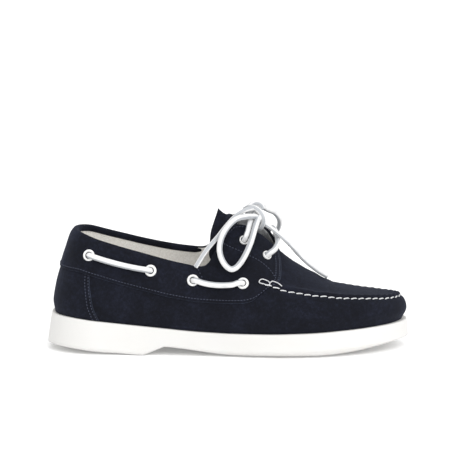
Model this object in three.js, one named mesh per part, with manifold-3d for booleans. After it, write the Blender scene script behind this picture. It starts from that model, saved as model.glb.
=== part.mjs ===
// Boat shoe for the right foot, standing empty on its sole. Millimetres.
// +X runs from heel to toe, +Y to the inner (medial) side of the foot, +Z up.
// While the pieces are shaped, x counts from the back of the heel and y from the line of the heel.
// At the end the group is moved so that the origin lies on the floor under the middle of the shoe.

import * as THREE from "three";
import Module from "manifold-3d";

const wasm = await Module();
wasm.setup();

// ---- Driving sizes ----

const soleLength = 280;
const gap = 0.3; // between pieces that touch
const wall = 2.4; // upper: suede and lining together
const collarWall = 3.4; // upper at its softly padded top edge
const ledge = 3.4; // how far the upper stands in from the sole's widest line
const ridgeHeight = 2.2; // the gathered lip of the vamp just inside the moccasin seam
const insoleThickness = 3;
const tongueThickness = 2.6;
const laceDiameter = 4.2;
const laceEndDiameter = 3.3; // pulled thin where it hangs free
const eyelet = {
  rim: 4.9, eyestayRim: 4.4, hole: 2.7, barrel: 3.3, rimThickness: 1.3, depth: 3, lift: 0.6, sides: 10,
};
const drill = { clearance: 0.4, length: 16 }; // of the holes the eyelets sit in
const laceClearance = 0.8; // between the quarter and the lace along it
// Up through an eyelet and over its rim: distances ahead and out from its seat.
const leadOutSteps = [[0, -2], [0, 1.8], [0.7, 4.1], [3.3, 5.5]];

const lateral = -1;
const medial = 1;

// Plan of the sole: centre line, and half width before the two ends are rounded off.
const solePlan = table("x centre half", [
  [0, 0, 35.6],
  [40, 0, 36],
  [75, -0.8, 36],
  [91, -2, 35.8],
  [105, -3.2, 36],
  [120, -4, 37.4],
  [141, -4, 41],
  [164, -2.8, 45.8],
  [182, -1.3, 48.8],
  [200, 0, 49.7],
  [215, 1.2, 49.5],
  [232, 2.4, 48.8],
  [280, 5, 48.8],
]);
const heelRound = { length: 40, power: 2.2 };
const toeRound = { length: 75, power: 1.9 };

// Height of the sole's top face, from heel seat to toe spring.
const soleTop = table("x z", [
  [0, 28.9],
  [17, 28.2],
  [45, 25.2],
  [82, 21.5],
  [118, 18.7],
  [141, 18.1],
  [164, 18.2],
  [200, 19.1],
  [232, 20.5],
  [256, 21.5],
  [280, 22],
]);

// Underside: along the centre, where it touches the floor, and along the rounded lower edge.
const heelBreast = { foot: 75.5, top: 91 };
const soleBottom = table("x centre edge", [
  [0, 4.6, 5.6],
  [12, 3.8, 6.2],
  [26, 2.4, 5.3],
  [40, 0.7, 4],
  [50, 0, 3.2],
  [heelBreast.foot, 0, 0.6],
  [heelBreast.top, 7, 7.1],
  [105, 5.4, 6],
  [118, 3, 4.9],
  [132, 0.8, 4.5],
  [144, 0, 4.5],
  [164, 0, 4.8],
  [182, 0, 5.2],
  [206, 0, 6.1],
  [218, 0.5, 6.7],
  [232, 1.8, 7.3],
  [251, 4.6, 8.2],
  [265, 6.9, 8.7],
  [280, 9, 9.2],
]);

// The upper's belly line: how far it swells past the feather line, and its height over the sole.
const bellyLine = table("x swell rise", [
  [0, 1.2, 9.5],
  [60, 2, 12],
  [105, 3, 14],
  [200, 2.2, 13],
  [250, 2.4, 10.5],
  [280, 2.6, 8.8],
]);

// The line halfway up the quarters that becomes the moccasin seam in front of x = 163.
const seamLine = table("x insetLateral insetMedial zLateral zMedial", [
  [0, 3.6, 3.6, 58, 58],
  [40, 3, 3, 56, 56],
  [75, 2.4, 1.8, 51.5, 51.5],
  [100, 2.6, 1, 50.5, 50.5],
  [120, 4.2, 2, 54, 54],
  [141, 7.6, 6, 57.5, 57.5],
  [163, 9.5, 8.8, 56.4, 56.4],
  [171, 9.7, 9.4, 54, 54],
  [180, 9.7, 9.7, 51.6, 51.5],
  [198, 9.6, 9.8, 48.4, 47.2],
  [221, 9.2, 11, 45.2, 42],
  [246, 10, 12, 42.8, 39.3],
  [262, 10, 12, 41.3, 38.7],
  [280, 10, 10, 39.9, 39.9],
]);
const seamStart = 163;

// The top line: round the collar, up the eyestays, down the throat, then along the vamp's ridge,
// where both sides share it. Columns lateral and medial are distances to either side of y = 0.
const topLine = table("x lateral medial zLateral zMedial", [
  [21, 27, 27.4, 93.2, 93.2],
  [30, 27, 27.4, 90.4, 91.5],
  [42, 27.2, 27.8, 86.5, 88],
  [58, 28.6, 29, 81.7, 83.8],
  [78, 30, 29.6, 76.3, 79],
  [93, 31, 29.8, 72.3, 76],
  [108, 31.5, 29.8, 69, 73.8],
  [118, 31.3, 29.6, 67.4, 73],
  [122, 30.8, 29.4, 67.9, 73.4],
  [125, 29.7, 28.9, 70.5, 75.6],
  [129, 27.6, 27.6, 77.5, 82],
  [134, 24.5, 25.4, 86, 90.5],
  [140, 20.3, 21.6, 93, 97.2],
  [147, 16.3, 17.6, 97.6, 101.4],
  [152, 14.3, 15.8, 97, 101],
  [161, 12, 13.6, 92.1, 97],
  [171, 9, 11.4, 84.2, 89.6],
  [176, 6.2, 8.2, 79.2, 83],
  [180, -1, 1, 74.8, 74.8],
  [195, -2, 2, 63.6, 63.6],
  [211, -3, 3, 54.4, 54.4],
  [219, -3.3, 3.3, 50.2, 50.2],
  [230, -3.8, 3.8, 46.9, 46.9],
  [240, -4.2, 4.2, 45, 45],
  [250, -4.6, 4.6, 43.5, 43.5],
  [262, -5, 5, 42.3, 42.3],
]);
const throatEnd = 180;
const collarRound = { length: 24, power: 2.2 };

// How far each line of the upper starts in from the back of the heel, and ends in from the toe.
const endsIn = {
  feather: { heel: 6.5, toe: 5 },
  belly: { heel: 5.3, toe: 1.7 },
  seam: { heel: 9.2, toe: 6.5 },
  top: { heel: 21, toe: 17 },
};
const heelReach = 60; // the stretches over which those shifts fade out
const toeReach = 60;

// The tongue, from its hidden front end to its top edge: its middle, and its two side edges.
const tongueRows = table("xMid yMid zMid xNear yNear zNear xFar yFar zFar", [
  [192, 2, 60.5, 188, -12, 54.5, 188, 15, 54.5],
  [182, 1.5, 66.6, 177, -16, 56.5, 177, 18, 57.5],
  [172, 1, 74.2, 162, -20, 59, 163, 21, 62],
  [161, 1, 83.4, 146, -22.8, 62, 149, 22, 67],
  [152, 0.5, 91, 133, -23.8, 65.5, 141, 20.8, 74],
  [146, 0, 96.8, 125, -23.3, 76, 140, 18.8, 81],
  [142, 0, 101, 126, -20, 91, 142.5, 16.4, 88.5],
  [139.5, 0, 104, 132.5, -12, 110, 148.5, 12.2, 96.5],
]);

// Eyelets on each side, by x and height: four along the quarter, two in the eyestay.
const eyeletRows = table("x lateralZ medialZ", [
  [34.4, 75.9, 77.6],
  [81, 64.9, 67.6],
  [113.2, 57.8, 61],
  [150.9, 56, 58.4],
  [151.6, 86.2, 89.6],
  [168.8, 74.4, 78],
]);
const upperEyelet = 4; // rows of the two eyestay eyelets
const lowerEyelet = 5;

// Lace on the outside of the quarters: the eyelets it joins, and how far it sags between them.
const sideRuns = [
  { name: "rear", from: 0, to: 1, sag: 1.2 },
  { name: "front", from: 2, to: 3, sag: 2.6 },
];

// Lace over the throat, listed point by point from the near (lateral) side to the far side. The
// first and last stretches, in and out of the eyelets, are added to the two bars.
const laceRoutes = {
  upperBar: [
    [154.8, -20.2, 93.6], [156.6, -14.8, 99.8], [158.4, -8.8, 97.8], [161, -1, 94],
    [161, 7.5, 97], [158.2, 13, 103], [155.6, 18.6, 101.6], [153.6, 23.6, 97],
  ],
  lowerBar: [
    [174.6, -21, 78.8], [177.4, -16, 82.2], [177.8, -8, 84.4], [176.9, 3, 87.3],
    [175.6, 10.6, 90], [173.6, 17.4, 90], [171.2, 23, 87],
  ],
  nearLoop: [
    [163, -8.5, 102.2], [159.5, -13, 103.4], [155.6, -17.5, 104.2], [151.8, -22, 104.5],
    [148, -26, 104.3], [144.5, -29.5, 103.1], [141.1, -32, 100.4], [137.9, -34, 96.6],
    [135.3, -35.5, 92], [133.7, -36, 86.7], [133.3, -36.5, 81.4], [134.3, -37.5, 76.3],
    [136.5, -39, 71.9], [139.3, -40.3, 68.8], [142.3, -40.5, 67.4], [145.7, -39.5, 68.5],
    [149.1, -37, 71.7], [152.5, -34, 76.8], [155.5, -31, 82.8], [157.8, -28, 88.9],
    [159.8, -23, 95], [161.7, -16, 99.7], [163.7, -9, 102.9],
  ],
  nearEnd: [
    [162.6, -5, 108.7], [158.7, -9, 109.3], [154.9, -12.5, 109], [151, -16, 108],
    [147.2, -19, 106.1], [143.4, -22, 103.2], [139.6, -25, 99.4], [135.8, -28, 95.2],
    [132.1, -31, 90.8], [128.3, -33.5, 86.8], [124.5, -35.5, 82.5], [120.8, -37, 77.5],
    [117.8, -38.3, 72.9], [115.2, -39.3, 68.9],
  ],
  farLoop: [
    [160.5, 0, 112.6], [163.8, 3.6, 111.4], [167, 7, 108], [170.6, 11, 105.4],
    [176, 15.5, 102.3], [179.5, 19.5, 97.2], [180, 23, 92.5], [178.6, 26, 87.5],
    [175.5, 29, 81], [170.5, 31.5, 75], [165, 33, 71.8], [160.5, 33.2, 72.8],
    [159.3, 31.5, 78], [161, 27.5, 86], [163.7, 21.5, 94], [165.3, 15, 100], [165, 9, 102.4],
  ],
  farEnd: [
    [167.7, -5.5, 96.6], [172.6, -8, 93.8], [177.1, -9.5, 90.5], [182.5, -9, 85.6],
    [188.1, -7, 79.8], [193.6, -3.5, 73.2], [199, -2, 67.4], [204.5, -0.5, 62.5],
    [210.1, 1, 58.1], [216.4, 3, 54],
  ],
};
const knot = { centre: [162, 0, 103.3], radii: [5.5, 6, 6.2] };

// ---- Materials ----

const materials = {
  rubber: new THREE.MeshStandardMaterial({ color: 0xf1eeea, roughness: 0.6 }),
  suede: new THREE.MeshStandardMaterial({ color: 0x1c2233, roughness: 0.95 }),
  lining: new THREE.MeshStandardMaterial({ color: 0xdcd8cf, roughness: 0.9 }),
  enamel: new THREE.MeshStandardMaterial({ color: 0xf4f4f2, roughness: 0.35 }),
  lace: new THREE.MeshStandardMaterial({ color: 0xeeeeec, roughness: 0.6 }),
};

// ---- Tables and curves ----

// Rows of numbers with named columns, such as table("x z", [[0, 5], [10, 6]]).
function table(names, rows) {
  const columns = names.split(" ");
  return rows.map((row) => Object.fromEntries(columns.map((name, i) => [name, row[i]])));
}

// Value of one column at x, on a smooth curve that never overshoots its rows.
function along(rows, column, x) {
  const last = rows.length - 1;
  if (x <= rows[0].x) return rows[0][column];
  if (x >= rows[last].x) return rows[last][column];
  const step = (i) => rows[i + 1].x - rows[i].x;
  const slope = (i) => (rows[i + 1][column] - rows[i][column]) / step(i);
  const tangent = (i) => {
    if (i === 0) return slope(0);
    if (i === last) return slope(last - 1);
    const [before, after] = [slope(i - 1), slope(i)];
    if (before * after <= 0) return 0;
    const [a, b] = [2 * step(i) + step(i - 1), step(i) + 2 * step(i - 1)];
    return (a + b) / (a / before + b / after);
  };
  const i = rows.findIndex((row) => row.x > x) - 1;
  const t = (x - rows[i].x) / step(i);
  return hermite(rows[i][column], tangent(i) * step(i), rows[i + 1][column], tangent(i + 1) * step(i), t);
}

function hermite(start, startTangent, end, endTangent, t) {
  const [t2, t3] = [t * t, t * t * t];
  return start * (2 * t3 - 3 * t2 + 1) + startTangent * (t3 - 2 * t2 + t)
    + end * (3 * t2 - 2 * t3) + endTangent * (t3 - t2);
}

function hermitePoint(start, startTangent, end, endTangent, t) {
  const axis = (name) => hermite(start[name], startTangent[name], end[name], endTangent[name], t);
  return new THREE.Vector3(axis("x"), axis("y"), axis("z"));
}

// 0 at the very end of a rounded plan, 1 once the distance passes the rounding's length.
function roundOff(distance, { length, power }) {
  const rest = THREE.MathUtils.clamp(1 - distance / length, 0, 1);
  return (1 - rest ** power) ** (1 / power);
}

const smooth = (low, high, x) => THREE.MathUtils.smoothstep(x, low, high);
const mix = THREE.MathUtils.lerp;

// ---- Plan of the sole and lines of the upper ----

function plainHalf(x) {
  return along(solePlan, "half", x);
}

function soleHalf(x) {
  return plainHalf(x) * roundOff(x, heelRound) * roundOff(soleLength - x, toeRound);
}

// Point of a line that runs round the shoe, inset from the sole's widest line. The station x is
// shared by all lines; a line that starts in from the heel, or ends in from the toe, is drawn in
// there. heightAt gives the height at the point's own x.
function planPoint(side, x, inset, ends, heightAt) {
  const heelShift = ends.heel * Math.max(0, 1 - x / heelReach) ** 2;
  const toeShift = ends.toe * Math.max(0, 1 - (soleLength - x) / toeReach) ** 2;
  const half = soleHalf(x) * (1 - inset / plainHalf(x));
  const ownX = x + heelShift - toeShift;
  return new THREE.Vector3(ownX, along(solePlan, "centre", x) + side * half, heightAt(ownX));
}

function featherPoint(side, x) {
  return planPoint(side, x, ledge, endsIn.feather, (ownX) => along(soleTop, "z", ownX) + gap);
}

function bellyPoint(side, x) {
  const inset = ledge - along(bellyLine, "swell", x);
  const heightAt = (ownX) => along(soleTop, "z", ownX) + along(bellyLine, "rise", ownX);
  return planPoint(side, x, inset, endsIn.belly, heightAt);
}

function seamPoint(side, x) {
  const sideName = side === lateral ? "Lateral" : "Medial";
  const inset = along(seamLine, `inset${sideName}`, x);
  return planPoint(side, x, inset, endsIn.seam, (ownX) => along(seamLine, `z${sideName}`, ownX));
}

function topPoint(side, x) {
  const [name, height] = side === lateral ? ["lateral", "zLateral"] : ["medial", "zMedial"];
  const point = planPoint(side, x, 0, endsIn.top, (ownX) => along(topLine, height, ownX));
  const round = roundOff(point.x - endsIn.top.heel, collarRound);
  point.y = side * along(topLine, name, point.x) * round;
  return point;
}

// Point of the upper's outer face. level runs 0 feather line, 1 belly, 2 seam, 3 top line.
function wallPoint(side, x, level) {
  const [feather, belly] = [featherPoint(side, x), bellyPoint(side, x)];
  const [seam, top] = [seamPoint(side, x), topPoint(side, x)];
  const away = (from, to) => to.clone().sub(from);
  const atBelly = away(feather, seam).normalize();
  if (level < 1) {
    const length = feather.distanceTo(belly);
    return hermitePoint(feather, away(feather, belly), belly, atBelly.multiplyScalar(length), level);
  }
  // In front of the seam's start the side wall rolls in under the vamp, which rises from it.
  const crease = smooth(seamStart - 20, seamStart + 5, x);
  const inward = away(seam, top).setZ(0).normalize();
  const straight = away(belly, top).normalize();
  if (level < 2) {
    const rolled = away(belly, seam).normalize().multiplyScalar(0.75).addScaledVector(inward, 0.5);
    const atSeam = straight.lerp(rolled.normalize(), crease).normalize();
    const length = belly.distanceTo(seam);
    atBelly.multiplyScalar(length);
    atSeam.multiplyScalar(length);
    return hermitePoint(belly, atBelly, seam, atSeam, level - 1);
  }
  const length = seam.distanceTo(top);
  const rise = away(seam, top).normalize();
  const crowned = rise.clone().setZ(rise.z + 0.18).normalize();
  const fromSeam = straight.lerp(crowned, crease).normalize();
  const atTop = rise.lerp(inward, smooth(throatEnd - 8, throatEnd + 6, x)).normalize();
  return hermitePoint(seam, fromSeam.multiplyScalar(length), top, atTop.multiplyScalar(length), level - 2);
}

function wallNormal(side, x, level) {
  const step = 0.01;
  const ahead = wallPoint(side, x + step, level).sub(wallPoint(side, x - step, level));
  const upward = wallPoint(side, x, level + step).sub(wallPoint(side, x, level - step));
  return ahead.cross(upward).multiplyScalar(-side).normalize();
}

function bisect(low, high, isLow) {
  let [a, b] = [low, high];
  for (let i = 0; i < 40; i++) {
    const middle = (a + b) / 2;
    if (isLow(middle)) a = middle;
    else b = middle;
  }
  return (a + b) / 2;
}

// Place and outward direction of the outer face where it passes a given x and height.
function wallAt(side, x, z) {
  const stationOf = (level) => bisect(0, soleLength, (s) => wallPoint(side, s, level).x < x);
  const level = bisect(0.5, 2.99, (l) => wallPoint(side, stationOf(l), l).z < z);
  const station = stationOf(level);
  return { point: wallPoint(side, station, level), normal: wallNormal(side, station, level) };
}

// ---- Mesh helpers ----

// Stations along the shoe: dense round heel and toe, and where the top line climbs.
function stations(spans) {
  const list = [0];
  for (const { to, count, ease } of spans) {
    const from = list[list.length - 1];
    for (let i = 1; i <= count; i++) {
      let t = i / count;
      if (ease === "start") t = t ** 2;
      if (ease === "end") t = 1 - (1 - t) ** 2;
      list.push(mix(from, to, t));
    }
  }
  return list;
}

function indexedGeometry(positions, triangles) {
  const geometry = new THREE.BufferGeometry();
  const coordinates = positions.flatMap((p) => p.toArray());
  geometry.setAttribute("position", new THREE.Float32BufferAttribute(coordinates, 3));
  geometry.setIndex(triangles.flat());
  return geometry;
}

// A closed body from rings that run round the shoe, the first and last being single centre lines.
// ringPoint(side, x, ring) gives the points; both sides share the columns at heel and toe.
function ringBody(xs, ringCount, ringPoint) {
  const [lastColumn, lastRing] = [xs.length - 1, ringCount - 1];
  const positions = [];
  const ids = new Map();
  const id = (side, i, ring) => {
    const shared = i === 0 || i === lastColumn || ring === 0 || ring === lastRing;
    const key = `${shared ? lateral : side} ${i} ${ring}`;
    if (!ids.has(key)) {
      ids.set(key, positions.length);
      positions.push(ringPoint(shared ? lateral : side, xs[i], ring));
    }
    return ids.get(key);
  };
  const triangles = [];
  for (const side of [lateral, medial]) {
    for (let i = 0; i < lastColumn; i++) {
      for (let ring = 0; ring < lastRing; ring++) {
        pushQuad(triangles, side === medial, [id(side, i, ring), id(side, i, ring + 1),
          id(side, i + 1, ring + 1), id(side, i + 1, ring)]);
      }
    }
  }
  return indexedGeometry(positions, triangles);
}

function pushQuad(triangles, flip, [a, b, c, d]) {
  const quad = flip ? [d, c, b, a] : [a, b, c, d];
  for (const triangle of [[quad[0], quad[1], quad[2]], [quad[0], quad[2], quad[3]]]) {
    if (new Set(triangle).size === 3) triangles.push(triangle);
  }
}

function toManifold(geometry) {
  return new wasm.Manifold(new wasm.Mesh({
    numProp: 3,
    vertProperties: new Float32Array(geometry.attributes.position.array),
    triVerts: new Uint32Array(geometry.index.array),
  }));
}

function fromManifold(solid) {
  const { vertProperties, triVerts } = solid.getMesh();
  const geometry = new THREE.BufferGeometry();
  geometry.setAttribute("position", new THREE.Float32BufferAttribute(vertProperties, 3));
  geometry.setIndex(Array.from(triVerts));
  return geometry;
}

function piece(name, geometry, material) {
  const mesh = new THREE.Mesh(geometry, material);
  mesh.name = name;
  return mesh;
}

// ---- Outsole ----

// One section of the sole, from the middle of its top face, over the edge, to the middle of its underside.
// share says how far the height has come from the centre of the underside to its lower edge.
const soleSection = [
  { inset: 0, heel: 30, toe: 30, face: "top" },
  { inset: 9, heel: 11, toe: 10, face: "top" },
  { inset: 1.5, heel: 3.4, toe: 1.3, face: "top" },
  { inset: 0, heel: 0, toe: 0, face: "bottom", share: 1 },
  { inset: 2.5, heel: 2.5, toe: 2.5, face: "bottom", share: 0.5 },
  { inset: 8, heel: 8, toe: 8, face: "bottom", share: 0.13 },
  { inset: 16, heel: 16, toe: 16, face: "bottom", share: 0 },
  { inset: 0, heel: 29, toe: 29, face: "bottom", share: 0 },
];

function makeOutsole() {
  const xs = stations([
    { to: 40, count: 8, ease: "start" },
    { to: heelBreast.foot, count: 4 },
    { to: heelBreast.top, count: 2 },
    { to: 144, count: 6 },
    { to: 206, count: 7 },
    { to: 232, count: 3 },
    { to: soleLength, count: 8, ease: "end" },
  ]);
  const lastRing = soleSection.length - 1;
  const ringPoint = (side, x, ring) => {
    const { inset, heel, toe, face, share } = soleSection[ring];
    const topAt = (ownX) => along(soleTop, "z", ownX);
    const bottomAt = (ownX) =>
      mix(along(soleBottom, "centre", ownX), along(soleBottom, "edge", ownX), share);
    const point = planPoint(side, x, inset, { heel, toe }, face === "top" ? topAt : bottomAt);
    if (ring === 0 || ring === lastRing) point.y = along(solePlan, "centre", x);
    return point;
  };
  return piece("outsole", ringBody(xs, soleSection.length, ringPoint), materials.rubber);
}

// ---- Insole ----

function makeInsole() {
  const margin = ledge + wall + 1;
  const ends = { heel: endsIn.feather.heel + wall + 1, toe: endsIn.feather.toe + wall + 1 };
  const middle = { heel: 32, toe: 32 };
  const section = [
    { inset: 0, ends: middle, rise: insoleThickness },
    { inset: margin + 7, ends: { heel: ends.heel + 7, toe: ends.toe + 7 }, rise: insoleThickness },
    { inset: margin, ends, rise: insoleThickness + 0.8 },
    { inset: margin, ends, rise: 0 },
    { inset: 0, ends: middle, rise: 0 },
  ];
  const xs = stations([
    { to: 40, count: 7, ease: "start" },
    { to: 224, count: 14 },
    { to: soleLength, count: 8, ease: "end" },
  ]);
  const lastRing = section.length - 1;
  const ringPoint = (side, x, ring) => {
    const { inset, ends: place, rise } = section[ring];
    const point = planPoint(side, x, inset, place, (ownX) => along(soleTop, "z", ownX) + gap + rise);
    if (ring === 0 || ring === lastRing) point.y = along(solePlan, "centre", x);
    return point;
  };
  return piece("insole", ringBody(xs, section.length, ringPoint), materials.lining);
}

// ---- Upper ----

const upperStations = stations([
  { to: 40, count: 7, ease: "start" },
  { to: 75, count: 4 },
  { to: 118, count: 5 },
  { to: 124, count: 2 },
  { to: 140, count: 4 },
  { to: 172, count: 5 },
  { to: throatEnd, count: 2 },
  { to: 224, count: 5 },
  { to: soleLength, count: 9, ease: "end" },
]);

// Rows up the wall. Just inside the seam they stand at set distances, to carry the gathered lip.
const lipRows = table("distance lift", [
  [0, 0],
  [1.4, 0.75],
  [3.4, 1],
  [6.8, 0.12],
]);

function upperColumn(side, x) {
  const rows = [0, 0.5, 1, 1.35, 1.7].map((level) => ({ level, lift: 0 }));
  const width = seamPoint(side, x).distanceTo(topPoint(side, x));
  const lip = ridgeHeight * smooth(seamStart, seamStart + 10, x);
  for (const { distance, lift } of lipRows) {
    rows.push({ level: 2 + distance / width, lift: lift * lip });
  }
  const lastLip = rows[rows.length - 1].level;
  for (const share of [0.32, 0.62, 0.86, 1]) {
    rows.push({ level: mix(lastLip, 3, share), lift: 0 });
  }
  return rows.map(({ level, lift }) => ({ point: wallPoint(side, x, level), lift, level }));
}

// The outer face as a grid with its two sides joined at heel, toe and along the vamp's ridge.
function upperSkin() {
  const last = upperStations.length - 1;
  const vertices = [];
  const ids = new Map();
  const triangles = [];
  for (const side of [lateral, medial]) {
    const columns = upperStations.map((x) => upperColumn(side, x));
    const lastRow = columns[0].length - 1;
    const id = (i, row) => {
      const onRidge = row === lastRow && upperStations[i] >= throatEnd;
      const key = `${i === 0 || i === last || onRidge ? lateral : side} ${i} ${row}`;
      if (!ids.has(key)) {
        ids.set(key, vertices.length);
        const below = row > 0 ? columns[i][row - 1].point : null;
        vertices.push({ ...columns[i][row], x: upperStations[i], row, lastRow, below });
      }
      return ids.get(key);
    };
    for (let i = 0; i < last; i++) {
      for (let row = 0; row < lastRow; row++) {
        const corners = [id(i, row), id(i + 1, row), id(i + 1, row + 1), id(i, row + 1)];
        pushQuad(triangles, side === medial, corners);
      }
    }
  }
  return { vertices, triangles };
}

// Edges that only one triangle uses, in that triangle's direction.
function borderEdges(triangles) {
  const edges = new Set();
  for (const [a, b, c] of triangles) {
    for (const [from, to] of [[a, b], [b, c], [c, a]]) {
      if (!edges.delete(`${to} ${from}`)) edges.add(`${from} ${to}`);
    }
  }
  return [...edges].map((edge) => edge.split(" ").map(Number));
}

// Gives the skin its thickness, and rolls the edge over along the top line.
function upperShell() {
  const { vertices, triangles } = upperSkin();
  const skin = indexedGeometry(vertices.map((v) => v.point), triangles);
  skin.computeVertexNormals();
  const skinNormals = skin.attributes.normal;
  const normals = vertices.map((v, i) => new THREE.Vector3().fromBufferAttribute(skinNormals, i));
  const positions = vertices.map((v, i) => v.point.clone().addScaledVector(normals[i], v.lift));
  const count = vertices.length;
  for (let i = 0; i < count; i++) {
    const { point, x, row, lastRow } = vertices[i];
    const padded = smooth(0.6, 1, row / lastRow) * (1 - smooth(120, 145, x));
    const inner = point.clone().addScaledVector(normals[i], -mix(wall, collarWall, padded));
    if (row === 0) inner.z = point.z;
    positions.push(inner);
  }
  const all = [...triangles, ...triangles.map(([a, b, c]) => [c + count, b + count, a + count])];
  const rolled = new Map();
  const rollOf = (i) => {
    if (!rolled.has(i)) {
      const edge = vertices[i].point.clone().sub(vertices[i].below).normalize();
      rolled.set(i, positions.length);
      positions.push(positions[i].clone().lerp(positions[i + count], 0.5).addScaledVector(edge, 0.9));
    }
    return rolled.get(i);
  };
  for (const [a, b] of borderEdges(triangles)) {
    if (vertices[a].row === 0) {
      pushQuad(all, false, [b, a, a + count, b + count]);
    } else {
      pushQuad(all, false, [b, a, rollOf(a), rollOf(b)]);
      pushQuad(all, false, [rollOf(b), rollOf(a), a + count, b + count]);
    }
  }
  return indexedGeometry(positions, all);
}

function eyeletPlace(side, row) {
  return wallAt(side, row.x, side === lateral ? row.lateralZ : row.medialZ);
}

function aimed(geometry, { point, normal }) {
  const up = new THREE.Vector3(0, 0, 1);
  geometry.applyQuaternion(new THREE.Quaternion().setFromUnitVectors(up, normal));
  return geometry.translate(point.x, point.y, point.z);
}

function makeUpper() {
  let solid = toManifold(upperShell());
  for (const side of [lateral, medial]) {
    for (const row of eyeletRows) {
      const profile = [[0, -0.5], [1, -0.5], [1, 0.5], [0, 0.5]]
        .map(([r, z]) => new THREE.Vector2(r * (eyelet.barrel + drill.clearance), z * drill.length));
      const hole = aimed(turned(profile, eyelet.sides), eyeletPlace(side, row));
      solid = solid.subtract(toManifold(welded(hole)));
    }
  }
  return piece("upper", fromManifold(solid), materials.suede);
}

// A profile of (radius, height) points turned round the Z axis.
function turned(profile, sides) {
  return new THREE.LatheGeometry(profile, sides).rotateX(Math.PI / 2);
}

// Merges the corners that lie on each other and drops the triangles that this leaves empty.
function welded(geometry) {
  const source = geometry.index ? geometry.toNonIndexed() : geometry;
  const place = source.attributes.position;
  const ids = new Map();
  const positions = [];
  const corners = [];
  for (let i = 0; i < place.count; i++) {
    const point = new THREE.Vector3().fromBufferAttribute(place, i);
    const key = point.toArray().map((value) => Math.round(value * 1e4)).join(" ");
    if (!ids.has(key)) {
      ids.set(key, positions.length);
      positions.push(point);
    }
    corners.push(ids.get(key));
  }
  const triangles = [];
  for (let i = 0; i < corners.length; i += 3) {
    const triangle = corners.slice(i, i + 3);
    if (new Set(triangle).size === 3) triangles.push(triangle);
  }
  return indexedGeometry(positions, triangles);
}

// ---- Tongue ----

// A sheet lofted through its middle line and side edges, rounded across like the instep.
function makeTongue() {
  const [rowsAlong, across] = [14, 8];
  const curveOf = (name) => new THREE.CatmullRomCurve3(
    tongueRows.map((row) => new THREE.Vector3(row[`x${name}`], row[`y${name}`], row[`z${name}`])),
    false, "centripetal");
  const [near, middle, far] = ["Near", "Mid", "Far"].map(curveOf);
  const sheetPoint = (u, v) => {
    const centre = middle.getPoint(v);
    const edge = (u < 0 ? near : far).getPoint(v);
    const reach = Math.abs(u);
    const sideways = Math.sin(reach * Math.PI / 2);
    const down = 1 - Math.cos(reach * Math.PI / 2);
    const drop = mix(down, reach ** 1.5, 0.5);
    return new THREE.Vector3(mix(centre.x, edge.x, drop), mix(centre.y, edge.y, sideways),
      mix(centre.z, edge.z, drop));
  };
  const grid = [];
  const triangles = [];
  const id = (i, j) => i * (across + 1) + j;
  for (let i = 0; i <= rowsAlong; i++) {
    for (let j = 0; j <= across; j++) grid.push(sheetPoint(2 * j / across - 1, i / rowsAlong));
  }
  for (let i = 0; i < rowsAlong; i++) {
    for (let j = 0; j < across; j++) {
      pushQuad(triangles, false, [id(i, j), id(i, j + 1), id(i + 1, j + 1), id(i + 1, j)]);
    }
  }
  const skin = indexedGeometry(grid, triangles);
  skin.computeVertexNormals();
  const count = grid.length;
  const inner = grid.map((point, i) => point.clone().addScaledVector(
    new THREE.Vector3().fromBufferAttribute(skin.attributes.normal, i), -tongueThickness));
  const all = [...triangles, ...triangles.map(([a, b, c]) => [c + count, b + count, a + count])];
  for (const [a, b] of borderEdges(triangles)) {
    pushQuad(all, false, [b, a, a + count, b + count]);
  }
  return piece("tongue", indexedGeometry([...grid, ...inner], all), materials.suede);
}

// ---- Eyelets ----

function makeEyelet(name, place, rim) {
  const { hole, barrel, rimThickness, depth, lift, sides } = eyelet;
  const profile = [
    [hole, -depth], [barrel, -depth], [barrel, lift], [rim, lift],
    [rim - 0.6, lift + rimThickness], [hole, lift + rimThickness], [hole, -depth],
  ].map(([r, z]) => new THREE.Vector2(r, z));
  return piece(name, aimed(turned(profile, sides), place), materials.enamel);
}

// ---- Laces ----

// A round cord along points listed in the shoe's own frame, its faces about stepLength long.
function makeLace(name, points, stepLength, diameter = laceDiameter) {
  const path = new THREE.CatmullRomCurve3(points, false, "centripetal");
  const section = new THREE.Shape();
  const sides = 8;
  for (let i = 0; i < sides; i++) {
    const angle = 2 * Math.PI * i / sides;
    const [x, y] = [Math.cos(angle) * diameter / 2, Math.sin(angle) * diameter / 2];
    if (i === 0) section.moveTo(x, y);
    else section.lineTo(x, y);
  }
  const steps = Math.round(path.getLength() / stepLength);
  const geometry = new THREE.ExtrudeGeometry(section, { steps, extrudePath: path, bevelEnabled: false });
  return piece(name, geometry, materials.lace);
}

const vectors = (rows) => rows.map((row) => new THREE.Vector3(...row));

// Out of an eyelet's hole and clear of its rim, heading in the given direction.
function leadOut({ point, normal }, heading) {
  const ahead = heading.clone().addScaledVector(normal, -heading.dot(normal)).normalize();
  return leadOutSteps.map(([forward, out]) =>
    point.clone().addScaledVector(ahead, forward).addScaledVector(normal, out));
}

// From one eyelet's hole to another's, by way of the points between.
function threaded(from, between, to) {
  const heading = between[0].clone().sub(from.point);
  const arriving = between[between.length - 1].clone().sub(to.point);
  return [...leadOut(from, heading), ...between, ...leadOut(to, arriving).reverse()];
}

function makeSideRun(side, sideName, { name, from, to, sag }) {
  const [start, end] = [from, to].map((row) => eyeletPlace(side, eyeletRows[row]));
  const between = [0.28, 0.5, 0.72].map((share) => {
    const straight = start.point.clone().lerp(end.point, share);
    const { point, normal } = wallAt(side, straight.x, straight.z - 4 * sag * share * (1 - share));
    return point.addScaledVector(normal, laceDiameter / 2 + laceClearance);
  });
  return makeLace(`lace_side_${sideName}_${name}`, threaded(start, between, end), 3.2);
}

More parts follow.
